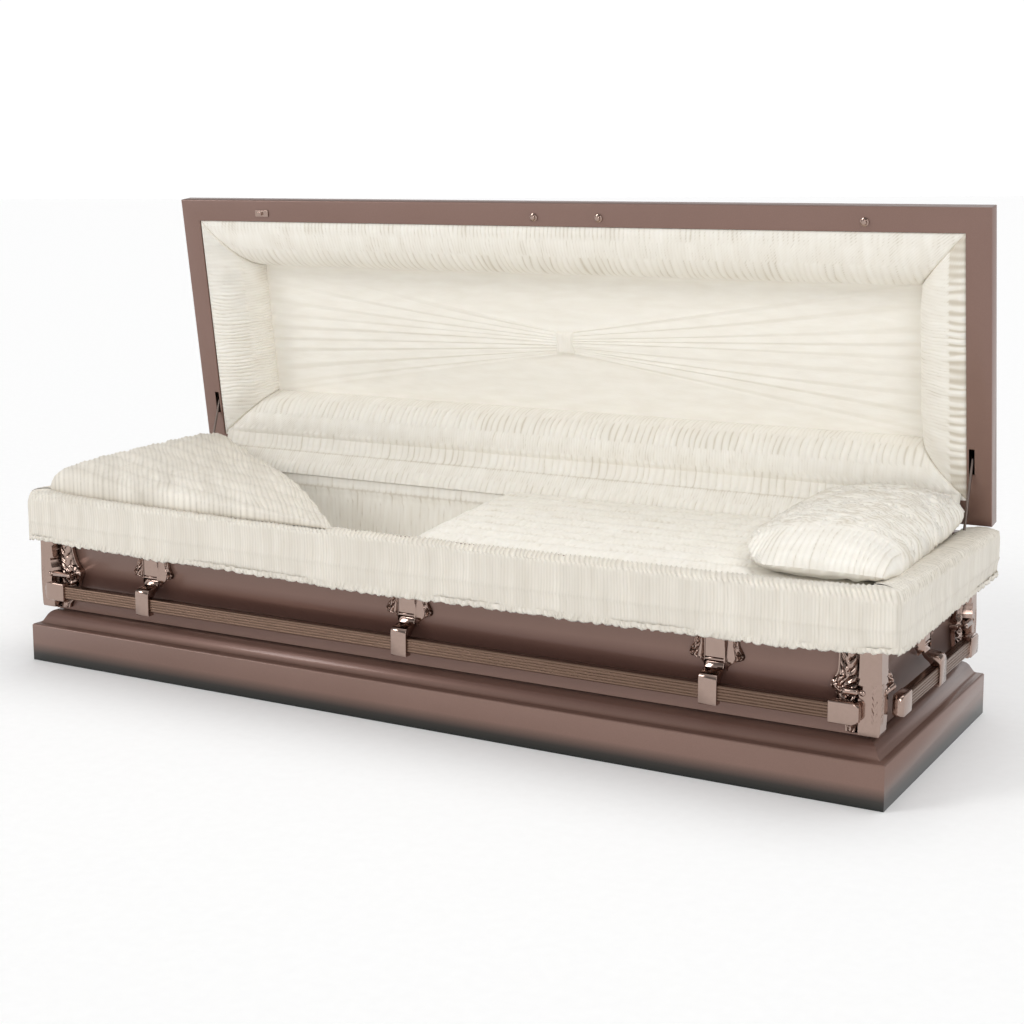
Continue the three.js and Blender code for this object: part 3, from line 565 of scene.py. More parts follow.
def lug_flank(mirror):
    """One side of a lug: a polished cove beside the boss, a leafy strip and a volute at its foot."""
    z = np.linspace(LUG_HEIGHTS[0] + 0.5, LUG_TOP, 68)[:, None]
    width = np.interp(z, LUG_HEIGHTS, LUG_HALF_WIDTHS)
    inner = np.where(z < LUG_BOSS_BOTTOM, 21.3, 19.5)
    x = inner + (width - inner) * np.linspace(0, 1, 36)[None, :]
    strip = np.interp(z, *LUG_STRIP_STARTS)
    across = (x - strip) / np.maximum(width - 3 - strip, 2)
    cove = 3.5 + 12.5 * np.clip(1 - (x - 21) / (strip - 21), 0, 1) ** 2.2
    leaf = leaf_relief(z + 0 * x, across * 2 - 1, 15, 3)
    height = np.where(across > 0, 3.6 + 5.2 * leaf, cove)
    # The relief is painted shade: darker in the leaves' hollows
    relief = np.where(across > 0, 0.1 + 0.9 * leaf, 1.0)
    bead = near(x, width - 2, 1.5) * (z > 231)
    height = height + (5.5 - height * 0.6) * bead
    relief = np.maximum(relief, bead)
    r = np.hypot(x - VOLUTE[0], z - VOLUTE[1])
    turn = np.arctan2(z - VOLUTE[1], x - VOLUTE[0])
    coil = np.cos(2 * math.pi * r / VOLUTE_PITCH - turn)
    in_volute = r < VOLUTE_RADIUS
    height = np.where(in_volute, 7 + 2.2 * coil + 3.2 * near(r, 0, 2.0), height)
    relief = np.where(in_volute, 0.5 + 0.5 * coil, relief)
    height = height * smooth((width - x) / 1.6) * (0.3 + 0.7 * smooth((z - LUG_HEIGHTS[0]) / 12))
    rows = loop_rows(x, LUG_BACK + height, z, relief, LUG_BACK)
    rows[..., 0] *= mirror
    return rows


def lug_boss():
    """The flat block over the arm, with a slit and a bright lip along its lower edge."""
    face = LUG_BOSS_FACE
    stations = [(LUG_BOSS_BOTTOM, face - 4), (232.9, face - 0.6), (234, face + 0.7), (237, face + 0.7),
                (238, face - 0.2), (238.4, face - 3), (239.8, face - 3), (240.3, face), (262, face),
                (285, face), (LUG_TOP, face)]
    half = 20.3
    rows = []
    for z, s in stations:
        section = [(-half, s - 1.2), (-half + 1.0, s), (0, s), (half - 1.0, s), (half, s - 1.2)]
        rear = [(half, LUG_BACK + 1, z, 1.0), (-half, LUG_BACK + 1, z, 1.0)]
        rows.append([(x, out, z, 1.0) for x, out in section] + rear)
    return np.array(rows, float)


LONG_ARM_PLACES = [-702, 0, 704]


def lugs():
    """The eight lugs that carry the handle arms: three on each long side, one on each end."""
    for side in ("front", "right", "back", "left"):
        places = {"front": LONG_ARM_PLACES, "back": [-x for x in reversed(LONG_ARM_PLACES)]}.get(side, [0])
        for i, middle in enumerate(places):
            label = f"{side}_{i + 1}" if len(places) > 1 else side
            casting = Casting(side_place(side, middle))
            casting.shell(lug_boss())
            for mirror in (-1, 1):
                casting.shell(lug_flank(mirror))
            casting.piece(f"cast_lug_{label}", f"handle_lug_{label}")


lugs()

# Corner castings: a is measured in from the corner along a side, b in from that side's face
CASTING_BOTTOM = 132.5
CASTING_TOP = 311
CASTING_REACH = 104
PANEL_INSET = 41.7
POST_EDGE = 59
POST_OUT = 25.2
CHAMFER = 5
CLUSTER_Z = 222
CLUSTER_IN = 13
CHASING_AT = 28

# How much further out the post stands, for each height
POST_SWELL = ([132, 138, 170, 215, 260, 311], [-4.0, -1.5, 0.4, 1.0, -0.5, -0.8])


def casting_face(a, z, reach):
    """How far a face of the casting stands out from the body, and its relief, the painted shade of its
    hollows.
    """
    post = POST_OUT + np.interp(z, *POST_SWELL)
    start = POST_EDGE + 8
    across = (a - start) / (reach - 3.5 - start)
    leaf = leaf_relief(z + 0 * a, across * 2 - 1, 19, 21)
    strip = 6.5 + 6.5 * leaf + 2.5 * np.clip(across, 0, 1)
    out = np.where(a > start, strip, post)
    relief = np.where(a > start, 0.05 + 0.95 * leaf, 1.0)
    recess = smooth((a - POST_EDGE) / 2.2) * (1 - smooth((a - start + 1) / 3))
    out = out * (1 - recess) + 6 * recess
    relief = relief * (1 - recess) + 0.1 * recess
    bead = near(a, reach - 2.2, 1.6)
    out = out + (8 - 0.8 * out) * bead
    relief = np.maximum(relief, bead)
    r = np.hypot(a - (reach - CLUSTER_IN), (z - CLUSTER_Z) * 0.9)
    turn = np.arctan2(z - CLUSTER_Z, a - reach + CLUSTER_IN)
    petal = np.abs(np.cos(3 * turn + 0.12 * r)) ** 0.6 * smooth(r / 3) + near(r, 0, 2.6)
    in_cluster = smooth((17 - r) / 4)
    out = out + in_cluster * (9.5 + 5.5 * petal - 0.35 * r - 0.45 * out)
    relief = relief * (1 - in_cluster) + in_cluster * petal
    chased = smooth((6 - np.abs(a - CHASING_AT)) / 1.5) * smooth((z - 152) / 6) * smooth((236 - z) / 6)
    scroll = leaf_relief(z + 0 * a, (a - CHASING_AT) / 5.5, 12, 23)
    out = out + chased * (1.6 * scroll - 1.1)
    relief = relief * (1 - chased) + chased * (0.2 + 0.8 * scroll)
    return out * smooth((reach - a) / 1.2), relief


def casting_rows(reach):
    """Loops round one corner casting, bottom to top, reaching that far along both sides."""
    z = np.linspace(CASTING_BOTTOM, CASTING_TOP, 90)[:, None]
    wide = CASTING_REACH + (reach - CASTING_REACH) * near(z, 205, 60)
    wide = wide + 12 * near(z, CLUSTER_Z, 15) - 16 * smooth((165 - z) / 25)
    t = np.concatenate([np.linspace(0, 0.56, 34), [0.6, 0.7, 0.8], np.linspace(0.85, 1, 12)])[None, :]
    low = PANEL_INSET - POST_OUT + CHAMFER
    a = wide + (low - wide) * t
    out, relief = casting_face(a, z, wide)
    b = PANEL_INSET - out
    high = z + 0 * a
    front = np.stack([a, b, high, relief], -1)
    side = np.stack([b, a, high, relief], -1)[:, ::-1]
    far = np.stack(np.broadcast_arrays(PANEL_INSET, wide * [[0.8, 0.6]] + 0.0, z, 0.0), -1)
    inner = np.stack(np.broadcast_arrays(PANEL_INSET, [[PANEL_INSET]], z, 0.0), -1)
    near_side = far[..., [1, 0, 2, 3]][:, ::-1]
    return np.concatenate([front, side, far, inner, near_side], axis=1)


def turned_rod(stations, out, z, swap):
    """A turned rod along a side: (place, radius) stations, as rows of circles."""
    angle = np.linspace(0, 2 * math.pi, 14, endpoint=False)
    rows = []
    for a, radius in stations:
        b = WIDTH / 2 - out - radius * np.cos(angle)
        section = np.stack([np.full(14, float(a)), b, z + radius * np.sin(angle), np.ones(14)], -1)
        rows.append(section[:, [1, 0, 2, 3]] if swap else section)
    return np.array(rows)


# Each corner: its quarter turns, the end that it is on, and how far its casting reaches
CORNERS = {"front_left": (0, -1, 128), "front_right": (1, 1, 106), "back_right": (2, 1, 128),
           "back_left": (3, -1, 106)}


def corner_place(turns, side):
    """Places points given in from a corner along its two sides, and up."""
    def place(a, b, z):
        x, y = a - WIDTH / 2, b - WIDTH / 2
        for _ in range(turns):
            x, y = -y, x
        return np.stack(np.broadcast_arrays(x + side * END_OFFSET, y, z), -1)
    return place


ROD_OUT = 325
ROD_Z = 214


def corners():
    """The four corner castings, each with a short turned rod along both sides."""
    for name, (turns, side, reach) in CORNERS.items():
        casting = Casting(corner_place(turns, side))
        casting.shell(casting_rows(reach), centre=(37, 37))
        end = reach - 14
        barrel = [(44.5, 1), (45.5, 4), (48, 6), (51.5, 6.8), (55, 5.6), (57.5, 3.2), (59, 3.4),
                  (60.5, 5.6), (62, 6.6), (end - 10, 6.9), (end - 8.5, 8.2), (end - 5, 8.2),
                  (end - 3.5, 6.2), (end, 5)]
        for swap in (False, True):
            casting.shell(turned_rod(barrel, ROD_OUT, ROD_Z, swap))
        casting.piece(f"cast_corner_{name}", f"corner_casting_{name}")


corners()

# Shirred cloth


def shirred(u, s, bands, seed):
    """Folds and height of cloth gathered in bands, each (from, to, pitch, depth, crispness) across s."""
    fold = np.zeros(np.broadcast(u, s).shape)
    height = np.zeros(fold.shape)
    for i, (low, high, pitch, depth, crisp) in enumerate(bands):
        inside = smooth((s - low) / 6 + 0.5) * smooth((high - s) / 6 + 0.5)
        ridge = folds(u, s, pitch, 5 * pitch, seed + 30 * i, wander=0.4, regular=0.7) ** crisp
        middle, half = (low + high) / 2, (high - low) / 2
        bulge = np.clip(1 - ((s - middle) / half) ** 2, 0, 1)
        fold += inside * ridge
        height += inside * depth * (ridge - 0.35 + 0.4 * bulge)
    return fold, height


# Lid lining: a roll curls in from the lid's flange to the panel, ROLL_LENGTH of cloth around

ROLL_START = 55
ROLL_LENGTH = 165
ROLL_DEPTH = 101
ROLL_GRIDS = {"front": (1000, 30), "left": (330, 34), "right": (330, 34), "back": (1120, 36)}
HINGE_BAND = (-33, 25, 18, 4.6, 1.0)
ROLL_BANDS = {
    "front": [(-20, 24, 11, 1.6, 1.4), (24, 60, 8, 0.5, 1.0), (60, 130, 17, 1.5, 1.2),
              (130, 190, 10, 1.2, 1.0)],
    "left": [(-20, 92, 9.6, 5.0, 1.0), (92, 190, 7, 2.2, 1.0)],
    "right": [(-20, 34, 19, 4.0, 3.6), (34, 190, 7.5, 1.0, 1.0)],
    "back": [HINGE_BAND, (25, 63, 7, 2.2, 1.0), (63, 117, 16, 4.6, 1.2), (117, 190, 10, 0.9, 1.0)],
}
ROLL_SEEDS = {"front": 11, "left": 12, "right": 13, "back": 14}

# How the lid's rolls would be pressed back from the bed, towards the panel, with the lid closed: an axis,
# an anchor and the share of depth kept
PRESSED = {"axis": (0, math.sin(LID_OPEN), math.cos(LID_OPEN)),
           "anchor": tuple(float(c) * MM for c in lid_point(0, 300, PANEL_DEPTH)), "keep": 0.85}


def lid_roll(side):
    """One puffed side of the lid's lining, meeting its neighbours along a stitched mitre."""
    nu, nv = ROLL_GRIDS[side]
    t = np.linspace(0, 1, nu)[:, None]
    a = np.linspace(-0.16 if side == "back" else 0, 1, nv)[None, :]
    turn = a * math.pi / 2

    def inset(which):
        return ROLL_START + (PANEL_INSETS[which] - ROLL_START) * np.sin(turn)

    left, right = -LID_HALF_X + inset("left"), LID_HALF_X - inset("right")
    low, high = 8 + inset("back"), LID_TOP_V - inset("front")
    h = PANEL_DEPTH - ROLL_DEPTH * np.cos(turn)
    if side in ("front", "back"):
        u = left + (right - left) * t
        v = np.broadcast_to(high if side == "front" else low, u.shape)
        along, ends = u, np.minimum(u - left, right - u)
    else:
        v = low + (high - low) * t
        u = np.broadcast_to(left if side == "left" else right, v.shape)
        along, ends = v, np.minimum(v - low, high - v)
    across = np.broadcast_to(a * ROLL_LENGTH, along.shape)
    fold, relief = shirred(along, across, ROLL_BANDS[side], ROLL_SEEDS[side])
    whole = smooth(ends / 7)
    if side == "back":
        edge = smooth((across + 24) / 10) * (0.3 + 0.7 * smooth((across - 4) / 16))
    else:
        edge = smooth(across / 9 + 0.05)
    puff = 7 * np.clip(np.sin(math.pi * a), 0, 1) * smooth(ends / 70) + 2.5
    # Painted shade: darker in the fold valleys, along the mitres and where the roll meets the panel
    shade = fold * (0.25 + 0.75 * smooth(ends / 4)) * smooth((ROLL_LENGTH - across) / 6 + 0.1)
    height = whole * (relief + puff) * edge
    obj = cloth_grid(f"lid_lining_{side}", lid_point(u, v, h), height, along, across, shade,
                     flip=side in ("front", "left"))
    dress(obj, "lid", "crepe", CREPE, f"lid_roll_{side}")
    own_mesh(obj)


for roll_side in ROLL_SEEDS:
    lid_roll(roll_side)


PANEL_HALF_U = 888
PANEL_V = (161, 515)
BAND_HALF_U = 27
BAND_HALF_V = 29
PLEATS = 4.3


def lid_panel():
    """Crisp pleats drawn in to the band in the middle, with plain cloth above and below them."""
    u = np.linspace(-PANEL_HALF_U, PANEL_HALF_U, 250)[:, None]
    w = np.linspace(-1.12, 1.12, 160)[None, :]
    out = np.abs(u)
    side = np.where(u > 0, 1, -1)
    half = BAND_HALF_U + 148 * out / PANEL_HALF_U
    low, high = PANEL_V
    beyond = np.clip(np.abs(w) - 1, 0, None) / 0.12
    room = np.where(w > 0, high - PANEL_MIDDLE_V, PANEL_MIDDLE_V - low)
    v = PANEL_MIDDLE_V + np.sign(w) * (np.minimum(np.abs(w), 1) * half + beyond * (room - half))
    u, v, w, out, half = np.broadcast_arrays(u, v, w, out, half)
    wander = 1.5 * (noise(w * 2.6 + 20, side * 3 + out / 1500, 31) - 0.5)
    phase = w * PLEATS + wander
    saw = phase - np.floor(phase)
    drop = 0.08 + 0.24 * out / PANEL_HALF_U
    pleat = np.where(saw < drop, saw / drop, (1 - saw) / (1 - drop))
    inside = smooth((1.02 - np.abs(w)) / 0.04)
    strength = 0.45 + 0.9 * noise(np.floor(phase) * 3.7, side * 2.0 + out / 500, 36)
    close = np.exp(-out / 190)
    height = inside * pleat * strength * (1.7 + 0.005 * half) + 6 * close * np.clip(1 - w ** 2, 0, 1)
    height = height + inside * close * 1.5 * folds(w * 30, out, 6, 400, 33)
    height = height + 2.0 * (noise(u / 300, v / 110, 35) - 0.5) * (1 - inside)
    edge = np.minimum(np.minimum(v - low, high - v), PANEL_HALF_U - out)
    height = height * smooth(edge / 8)
    # Painted shadow along each pleat's downward-facing drop, and painted shade grading across the pleat
    crease_shadow = near(saw, drop * 0.4, drop * 0.7) * strength * (0.04 + 0.7 * np.exp(-out / 200))
    slope = smooth((0.5 - saw) / 0.5)
    shade = inside * (0.92 - 0.10 * slope - 0.75 * crease_shadow) + (1 - inside) * 0.9
    raised = lid_point(u, v, PANEL_DEPTH - 2 - height)
    obj = cloth_grid("lid_fan_panel", raised, np.zeros(u.shape), v, u, shade, flip=True)
    dress(obj, "lid", "crepe", CREPE, "lid_panel")


lid_panel()


def panel_band():
    """The soft band that holds the pleats in the middle."""
    s, t = np.broadcast_arrays(np.linspace(-1, 1, 56)[:, None], np.linspace(-1, 1, 56)[None, :])
    round_u = (1 - np.abs(s) ** 4) ** 0.5
    round_v = (1 - np.abs(t) ** 6) ** 0.5
    u = BAND_HALF_U * s * (1 - 0.08 * np.cos(t * math.pi / 2))
    v = PANEL_MIDDLE_V + BAND_HALF_V * t
    fold = folds(u, v, 11, 60, 51, regular=0.5)
    depth = PANEL_DEPTH + 4 - 19 * round_u * round_v - 1.6 * fold * round_u
    # Painted shade: darker in the band's folds
    shade = 0.4 + 0.5 * fold
    obj = cloth_grid("lid_panel_knot", lid_point(u, v, depth), np.zeros(u.shape), u, v, shade, flip=True)
    dress(obj, "lid", "crepe", CREPE, "lid_panel_band")


panel_band()

# Cover over the hinge side and walls inside the body


def path_points(path, count):
    """Evenly spaced points on a smooth curve through corners, and how far along they lie."""
    path = np.array(path, float)
    for _ in range(3):
        q = path[:-1] * 0.75 + path[1:] * 0.25
        r = path[:-1] * 0.25 + path[1:] * 0.75
        path = np.concatenate([path[:1], np.stack([q, r], 1).reshape(-1, 2), path[-1:]])
    step = np.concatenate([[0], np.cumsum(np.linalg.norm(np.diff(path, axis=0), axis=1))])
    at = np.linspace(0, step[-1], count)
    return np.stack([np.interp(at, step, path[:, k]) for k in range(2)], 1), at


# The cover's section, each (y, z) from behind the lid's back roll down into the body
COVER_PATH = [(352, 494), (346, 482), (341.5, 470), (339.5, 460), (338, 450), (334, 444),
              (328, 440), (321, 437), (316, 429), (305, 420), (294, 410), (285, 398), (280, 386)]
COVER_HALF_X = 990
COVER_TUCK = 31
COVER_SEAM = -36
COVER_BANDS = [HINGE_BAND, (-70, COVER_SEAM, 7, 2.0, 1.0), (-130, -70, 16, 3.6, 1.0)]


def hinge_cover():
    """Puffed cover over the hinge that carries on from the lid's back roll, with a sewn seam."""
    points, at = path_points(COVER_PATH, 30)
    across = np.linspace(-COVER_HALF_X, COVER_HALF_X, ROLL_GRIDS["back"][0])
    x, s = np.broadcast_arrays(across[:, None], COVER_TUCK - at[None, :])
    p = np.stack([x, *np.broadcast_arrays(points[:, 0] + 0 * x, points[:, 1])], -1)
    fold, relief = shirred(x, s, COVER_BANDS, ROLL_SEEDS["back"])
    seam = near(s, COVER_SEAM, 2.4)
    height = (relief * (1 - 0.8 * seam) - 3.0 * seam) * smooth((COVER_TUCK - s) / 10)
    height = height * (0.3 + 0.7 * smooth(-s / 14))
    # Painted shade in the fold valleys and along the sewn seam
    obj = cloth_grid("hinge_side_cover", p, height, x, s, fold * (1 - 0.85 * seam), flip=True)
    dress(obj, "base", "crepe", CREPE, "hinge_cover_roll")
    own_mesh(obj)


hinge_cover()

WALL_HALF_X = 991
WALL_HALF_Y = 280
WALL_TOP = 388
WALL_FOOT = 196
WALL_SEAM = 361
WALL_BANDS = [(WALL_SEAM, 420, 16, 3.6, 1.0), (337, WALL_SEAM, 7, 1.6, 1.0), (150, 337, 13, 1.4, 1.0)]

# How far the walls come in towards the floor, for each unit down
WALL_LEAN = 0.28


def body_lining():
    """Shirred walls inside the body, in gathered tiers, one strip for each side, sewn together."""
    strips = []
    half = np.array([WALL_HALF_X, WALL_HALF_Y], float)
    turns = [(-1, -1), (1, -1), (1, 1), (-1, 1), (-1, -1)]
    for index in range(4):
        start, end = np.array(turns[index:index + 2]) * half
        length = np.linalg.norm(end - start)
        t, z = np.broadcast_arrays(np.linspace(0, 1, int(length / 5))[:, None],
                                   np.linspace(WALL_TOP, WALL_FOOT, 22)[None, :])
        along = t * length
        lean = WALL_LEAN * (WALL_TOP - z)[..., None] / half
        xy = (start + (end - start) * t[..., None]) * (1 - lean)
        fold, relief = shirred(along, z, WALL_BANDS, 70 + index)
        seam = near(z, WALL_SEAM, 2.6)
        ends = smooth(np.minimum(along, length - along) / 12)
        # Painted shade in the fold valleys and along the sewn seam
        strips.append(cloth_grid(f"wall_cloth_{index}", np.dstack([xy, z]), ends * (relief - 3 * seam),
                                 along, z, fold * (1 - 0.8 * seam), flip=True))
    with bpy.context.temp_override(active_object=strips[0], selected_editable_objects=strips):
        bpy.ops.object.join()
    lining = strips[0]
    lining.name = "body_wall_lining"
    dress(weld(lining), "base", "crepe", CREPE, "body_lining")


body_lining()

# Bed

BED_HALF_Y = 278

# Where the raised part of the bed ends along X, for each Y
BED_EDGE = ([-280, -222, 12, 184, 280], [8, 3, -37, -58, -70])

# How far the bed lies below its top, by the distance past that end
BED_DROP = ([-60, 0, 20, 60, 140, 230, 1200], [0, 2, 10, 34, 96, 146, 150])
BED_ROW = 62.0
BED_ROW_START = -280


def mattress():
    """The bed, raised at the head end and low at the foot end, quilted in lengthwise rows."""
    # few points in the foot hollow and under the pillow, many between them
    columns = np.concatenate([np.linspace(-985, -80, 40), np.linspace(-77, 760, 262),
                              np.linspace(766, 990, 26)])
    x, y = np.broadcast_arrays(columns[:, None], np.linspace(-BED_HALF_Y, BED_HALF_Y, 116)[None, :])
    drop = np.interp(np.interp(y, *BED_EDGE) + 6 - x, *BED_DROP)
    z = BED_TOP + 2 - drop - 14 * (np.abs(y / BED_HALF_Y) ** 16)
    phase = (y - BED_ROW_START) / BED_ROW
    frac = phase - np.floor(phase)
    puff = np.abs(np.sin(math.pi * frac)) ** 0.5
    seam = near(np.minimum(frac, 1 - frac) * BED_ROW, 0, 2.4)
    strokes = folds(x + 0.52 * y, y, 11, 26, 81, wander=0.8, regular=0.6)
    lengthwise = folds(y, x, 17, 46, 83, wander=0.9, regular=0.2)
    fold = 0.75 * strokes + 0.25 * lengthwise
    height = 5.0 * (fold - 0.3) * (0.4 + 0.6 * puff) + 5.0 * puff - 3.0 * seam - 4
    # Painted shade in the fold valleys and in the quilted seams between the rows
    obj = cloth_grid("bed_mattress", np.stack([x, y, z], -1), height, x, y, fold * (0.3 + 0.7 * puff))
    dress(obj, "base", "crepe", CREPE, "mattress")
    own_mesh(obj)


mattress()

# Skirts over the rim

# How far each skirt's face stands out past the base
SKIRT_OUT = {"front": 9, "right": 26, "left": 1}
SKIRT_END_Y = 334
SEAM_DOWN = 0.56
HEM_LOW = 284
FACE_TOP = 395
CREST_Z = 412

# The skirts' section, each (in from the base, z) from inside the body over the rim to the hem
SKIRT_PATH = [(62, 384), (60, 398), (50, 408), (36, CREST_Z), (22, CREST_Z), (10, 410), (4, 404),
              (1.5, FACE_TOP), (0, 380), (0.5, 350), (0.5, 318), (0, HEM_LOW), (3, HEM_LOW),
              (5, HEM_LOW + 14)]

# Heights of the hem and of the top fold, for each X
HEM = ([-1043, -668, -383, -116, 133, 367, 587, 793, 988, 1083],
       [296, 288, 283, 279, 279.5, 282, 282, 286.5, 291, 301])
CREST = ([-1055, -900, -500, 0, 500, 900, 1080], [419, 411, 405, 403, 405, 411, 421])


def skirt_inset(points, side):
    """How far in from the base's rectangle the skirt's rows lie on one side."""
    return (points[:, 0] - SKIRT_OUT[side] * smooth((56 - points[:, 0]) / 44))[None, :]


def skirt(side, nu, seed):
    """The skirt over one rim: gathered over the top, finely ribbed down its face, with a frilled hem."""
    points, at = path_points(SKIRT_PATH, 46)
    t = np.linspace(0, 1, nu)[:, None]
    down_cloth = np.broadcast_to(at[None, :], (nu, len(at)))
    hx, hy = LENGTH / 2, WIDTH / 2
    inset = skirt_inset(points, side)
    turn = 20 * smooth((44 - points[:, 0]) / 26)[None, :]
    start = 0.293 * turn
    if side == "front":
        x0 = skirt_inset(points, "left") - hx
        x1 = hx - skirt_inset(points, "right")
        along = x0 + start + (x1 - x0 - 2 * start) * t
        ends = np.minimum(along - x0, x1 - along)
        place = along
    else:
        y0 = skirt_inset(points, "front") - hy
        along = y0 + start + (SKIRT_END_Y - y0 - start) * t
        ends = along - y0
        place = np.full(along.shape, hx + 6 if side == "right" else -hx - 6)
    rounding = turn - np.sqrt(np.clip(turn ** 2 - np.clip(turn - ends, 0, None) ** 2, 0, None))
    in_from = inset + rounding
    if side == "front":
        x, y = along, in_from - hy
    else:
        x, y = (hx - in_from) * (1 if side == "right" else -1), along
    z = np.broadcast_to(points[:, 1][None, :], x.shape)
    hem, crest = np.interp(place, *HEM), np.interp(place, *CREST)
    if side != "front":
        back = smooth((y + 340) / 680)
        hem, crest = hem + 8 * back, crest - 10 * back
    down = np.clip((FACE_TOP - z) / (FACE_TOP - HEM_LOW), 0, 1)
    z = z + (crest - CREST_Z) * smooth((z - 398) / 14) + down * (hem - HEM_LOW)
    seam = near(down, SEAM_DOWN, 0.02)
    over = smooth((z - 392) / 8)
    slant = -0.5 if side == "front" else 0.3
    ribs = folds(along, down_cloth, 7, 170, seed, wander=0.3, regular=0.7)
    rolls = folds(along + slant * down_cloth, down_cloth, 10.5, 90, seed + 3, wander=0.35, regular=0.85)
    fold = ribs * (1 - over) + rolls * over
    ruffle = folds(along + 0.4 * down_cloth, down_cloth, 12, 70, seed + 7, wander=0.7, regular=0.6)
    lobes = folds(along, 0 * along, 27, 60, seed + 8, wander=0.7, regular=0.5)
    hemward = smooth((down - 0.80) / 0.14)
    whole = smooth((ends - start) / 9)
    tier = np.where(down < SEAM_DOWN, down / SEAM_DOWN, (down - SEAM_DOWN) / (1 - SEAM_DOWN))
    height = (1.2 + 4.2 * over) * (fold - 0.35) - 1.8 * seam + 5.6 * (ruffle - 0.4) * hemward
    height = height + 5.0 * (noise(along / 150, down_cloth / 60, seed + 21) - 0.5) * (1 - 0.5 * over)
    height = (height + 2.4 * np.abs(np.sin(math.pi * tier)) ** 0.7) * whole
    z = z + hemward * ((0.5 - ruffle) * 3.0 + (0.5 - lobes) * 7.0)
    # Painted light and shade: the crest over the rim lighter than the face, darker in the valleys, at the
    # seam and towards the ends
    shade = 0.2 * (1 - over) + (0.52 + 0.48 * over) * fold
    shade = shade * (1 - hemward) + 0.85 * ruffle * hemward
    shade = shade * (1 - 0.4 * seam) * (0.6 + 0.4 * whole)
    obj = cloth_grid(f"rim_skirt_{side}", np.stack(np.broadcast_arrays(x, y, z), -1), height, along,
                     down_cloth, shade, flip=side == "left")
    dress(obj, "base", "crepe", SHADED_CREPE, f"skirt_{side}")
    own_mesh(obj)


skirt("front", 1340, 91)
skirt("right", 400, 92)
skirt("left", 340, 93)

# Pillow and throw


def rounded_section(turn, square, rise):
    """Across (1 to -1) and up (-1 to 1) around a section between an ellipse and a box."""
    wide = np.cos(turn)
    return wide, np.sign(np.sin(turn)) * np.clip(1 - np.abs(wide) ** square, 0, 1) ** rise


def around(under, over):
    """Angles around a section, with more of them over the top, where they show."""
    return np.concatenate([np.linspace(-math.pi, 0, under, endpoint=False),
                           np.linspace(0, math.pi, over, endpoint=False)])


# The pillow's outline and height, at places from its front end (-1) to its back end (1)
PILLOW_S = [-1, -0.92, -0.8, -0.5, 0, 0.5, 0.85, 1]
PILLOW_LEFT = [790, 757, 735, 710, 698, 700, 712, 760]
PILLOW_RIGHT = [1026, 1032, 1034, 1030, 1024, 1022, 1020, 1012]
PILLOW_MIDDLE_Z = [426, 432, 440, 448, 450, 456, 466, 470]
PILLOW_MIDDLE_Y = 2
PILLOW_HALF_Y = 294
PILLOW_HALF_HIGH = 47
PILLOW_HEAD_DROP = 24


def pillow():
    """A stuffed pillow: one closed skin, drawn in at its two sewn ends, with long gathers at the front."""
    s, turn = np.broadcast_arrays(np.linspace(-1, 1, 190)[:, None], around(40, 150)[None, :])
    wide, tall = rounded_section(turn, 3.3, 0.43)
    tall = tall * np.where(tall > 0, 1 - 0.42 * np.clip(-wide, 0, 1) ** 1.5, 1)
    end = np.clip(1 - np.abs(s) ** 5, 0, 1) ** 0.5
    left, right = np.interp(s, PILLOW_S, PILLOW_LEFT), np.interp(s, PILLOW_S, PILLOW_RIGHT)
    x = (left + right) / 2 + wide * (right - left) / 2
    y = PILLOW_MIDDLE_Y + PILLOW_HALF_Y * s * (1 - 0.03 * (1 - wide ** 2))
    middle = np.interp(s, PILLOW_S, PILLOW_MIDDLE_Z)
    z = middle + tall * PILLOW_HALF_HIGH * end * (0.86 + 0.14 * (1 - wide ** 2))
    lower = np.clip(wide, 0, 1) ** 3
    z = z - PILLOW_HEAD_DROP * lower * (1 - 0.5 * np.clip(tall, 0, 1)) * smooth((s + 1) / 0.35)
    surface = folds(y + 0.3 * x, x - 0.3 * y, 13, 26, 101, wander=1.0, regular=0.6) ** 1.6
    gathers = folds(x, y, 12.5, 120, 103, wander=0.6, regular=0.7)
    tips = smooth((-s - 0.56) / 0.12) + smooth((s - 0.86) / 0.1)
    fold = surface * (1 - tips) + gathers * tips
    height = (8.5 - 2.5 * tips) * (fold - 0.35) * smooth(end * 2.2)
    # The fold value is also the painted shade, darkest in the puckers' valleys
    obj = cloth_grid("stuffed_pillow", np.stack([x, y, z], -1), height, y, x, fold, wrap_v=True,
                     flip=True)
    dress(weld(obj), "base", "crepe", CREPE, "head_pillow")
    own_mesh(obj)


pillow()


THROW_LEFT = -1012
THROW_LENGTH = 820
THROW_FRONT = -328
THROW_BACK = 324
THROW_TAPER = 638
THROW_BOW = 34
THROW_Z = 403

# Half its thickness, and the height of its back edge, from the left end (0) to the tip (1)
THROW_THICK = ([0, 0.1, 0.3, 0.6, 1], [36, 38, 28, 22, 6])
THROW_BACK_Z = ([0, 0.3, 1], [417, 405, THROW_Z])
THROW_ROW = 62


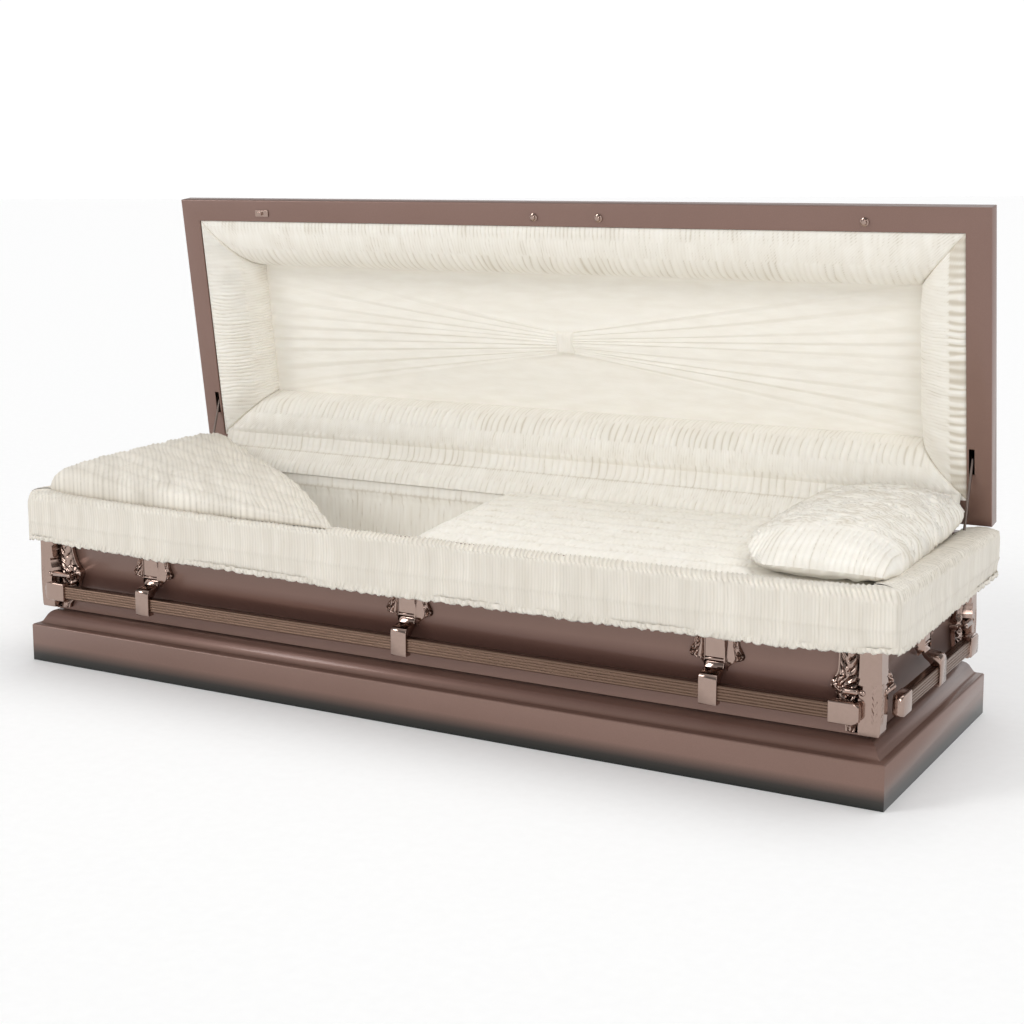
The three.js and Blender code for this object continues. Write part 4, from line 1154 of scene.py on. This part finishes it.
def throw():
    """Quilted throw folded over the foot end: thick and rounded at the left, thin at its right tip."""
    s, turn = np.broadcast_arrays(np.linspace(0, 1, 250)[:, None], around(18, 150)[None, :])
    wide, tall = rounded_section(turn, 4, 0.14)
    t = 0.5 - 0.5 * wide
    closing = np.clip(1 - np.clip(1 - s / 0.05, 0, 1) ** 2, 0, 1) ** 0.3
    thick = np.interp(s, *THROW_THICK)
    bow = THROW_BOW * np.sin(math.pi * s)
    end = np.exp(-s / 0.05)
    x = THROW_LEFT + THROW_LENGTH * s + t * bow + 22 * end * np.clip(-tall, 0, 1)
    back = THROW_BACK - THROW_TAPER * s ** 0.97 + 0.9 * bow
    y = (THROW_FRONT + 20 * end) * (1 - t) + t * back
    low = THROW_Z * (1 - t) + t * np.interp(s, *THROW_BACK_Z)
    z = low + 2 * thick * closing * np.clip(tall, 0, 1) * np.clip(30 * (1 - s), 0, 1) ** 0.5
    bands = (y + 0.15 * x) / THROW_ROW
    puff = np.abs(np.sin(math.pi * bands)) ** 0.6
    fold = folds(x + 0.9 * y, y, 14, 110, 111, wander=0.6, regular=0.7)
    height = (5.2 * (fold - 0.35) * (0.6 + 0.4 * puff) + 2.5 * puff) * smooth((1 - s) * 20)
    height = height * smooth(closing * 1.4) * smooth(8 * t + 0.1)
    # Painted shade in the fold valleys and the quilted seams between the bands
    obj = cloth_grid("folded_throw", np.stack([x, y, z], -1), height, x, y, fold * (0.5 + 0.5 * puff),
                     wrap_v=True, flip=True)
    dress(weld(obj), "base", "crepe", SHADED_CREPE, "foot_throw")
    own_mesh(obj)


throw()

# Studio

FLOOR_HALF = 60000
FLOOR_BELOW = 0.5


def studio_floor():
    """A plain pale floor, wide enough to reach the horizon."""
    corners_xy = [(-1, -1), (1, -1), (1, 1), (-1, 1)]
    points = np.array([(x * FLOOR_HALF, y * FLOOR_HALF, -FLOOR_BELOW) for x, y in corners_xy])
    floor = new_mesh("studio_floor", points, [[0, 1, 2, 3]])
    m = Nodes("studio_paper")
    grain = m.noise(m.add("ShaderNodeTexCoord"), "Object", 40, 4)
    m.colour(m.ramp(grain, "Fac", [(0.3, (0.96, 0.96, 0.96)), (0.7, (0.98, 0.98, 0.98))]))
    m.plain(Roughness=1.0, Specular_IOR_Level=0.0)
    paint(floor, m.material)


# How bright the sky is at each height, from the horizon to overhead
SKY = [(0.0, 1.0), (0.20, 1.0), (0.28, 0.24), (0.60, 0.22), (0.80, 0.55), (1.0, 0.6)]
SKY_STRENGTH = 1.03


def studio_sky():
    """White near the horizon and grey above it, so that the plating has something to mirror."""
    world = bpy.data.worlds.new("studio")
    bpy.context.scene.world = world
    world.use_nodes = True
    tree = world.node_tree
    place = tree.nodes.new("ShaderNodeTexCoord")
    parts = tree.nodes.new("ShaderNodeSeparateXYZ")
    ramp = tree.nodes.new("ShaderNodeValToRGB")
    background = tree.nodes["Background"]
    tree.links.new(place.outputs["Generated"], parts.inputs["Vector"])
    tree.links.new(parts.outputs["Z"], ramp.inputs["Fac"])
    tree.links.new(ramp.outputs["Color"], background.inputs["Color"])
    set_stops(ramp, [(at, (grey, grey, grey)) for at, grey in SKY])
    background.inputs["Strength"].default_value = SKY_STRENGTH


# Each lamp: where it shines from, its strength and its spread in degrees
LAMPS = [("top_light", (0.15, 0.28, 1.0), 1.05, 50), ("left_light", (-0.72, -0.66, 0.52), 0.76, 20),
         ("right_light", (0.62, -0.72, 0.58), 0.72, 26)]


def studio_lights():
    """Broad soft lights, far away."""
    for name, source, strength, spread in LAMPS:
        light = bpy.data.lights.new(name, "SUN")
        light.energy = strength
        light.angle = math.radians(spread)
        lamp = bpy.data.objects.new(name, light)
        lamp.rotation_euler = Vector(source).to_track_quat("Z", "Y").to_euler()
        bpy.context.scene.collection.objects.link(lamp)


studio_floor()
studio_sky()
studio_lights()
bpy.context.scene.view_settings.view_transform = "Standard"
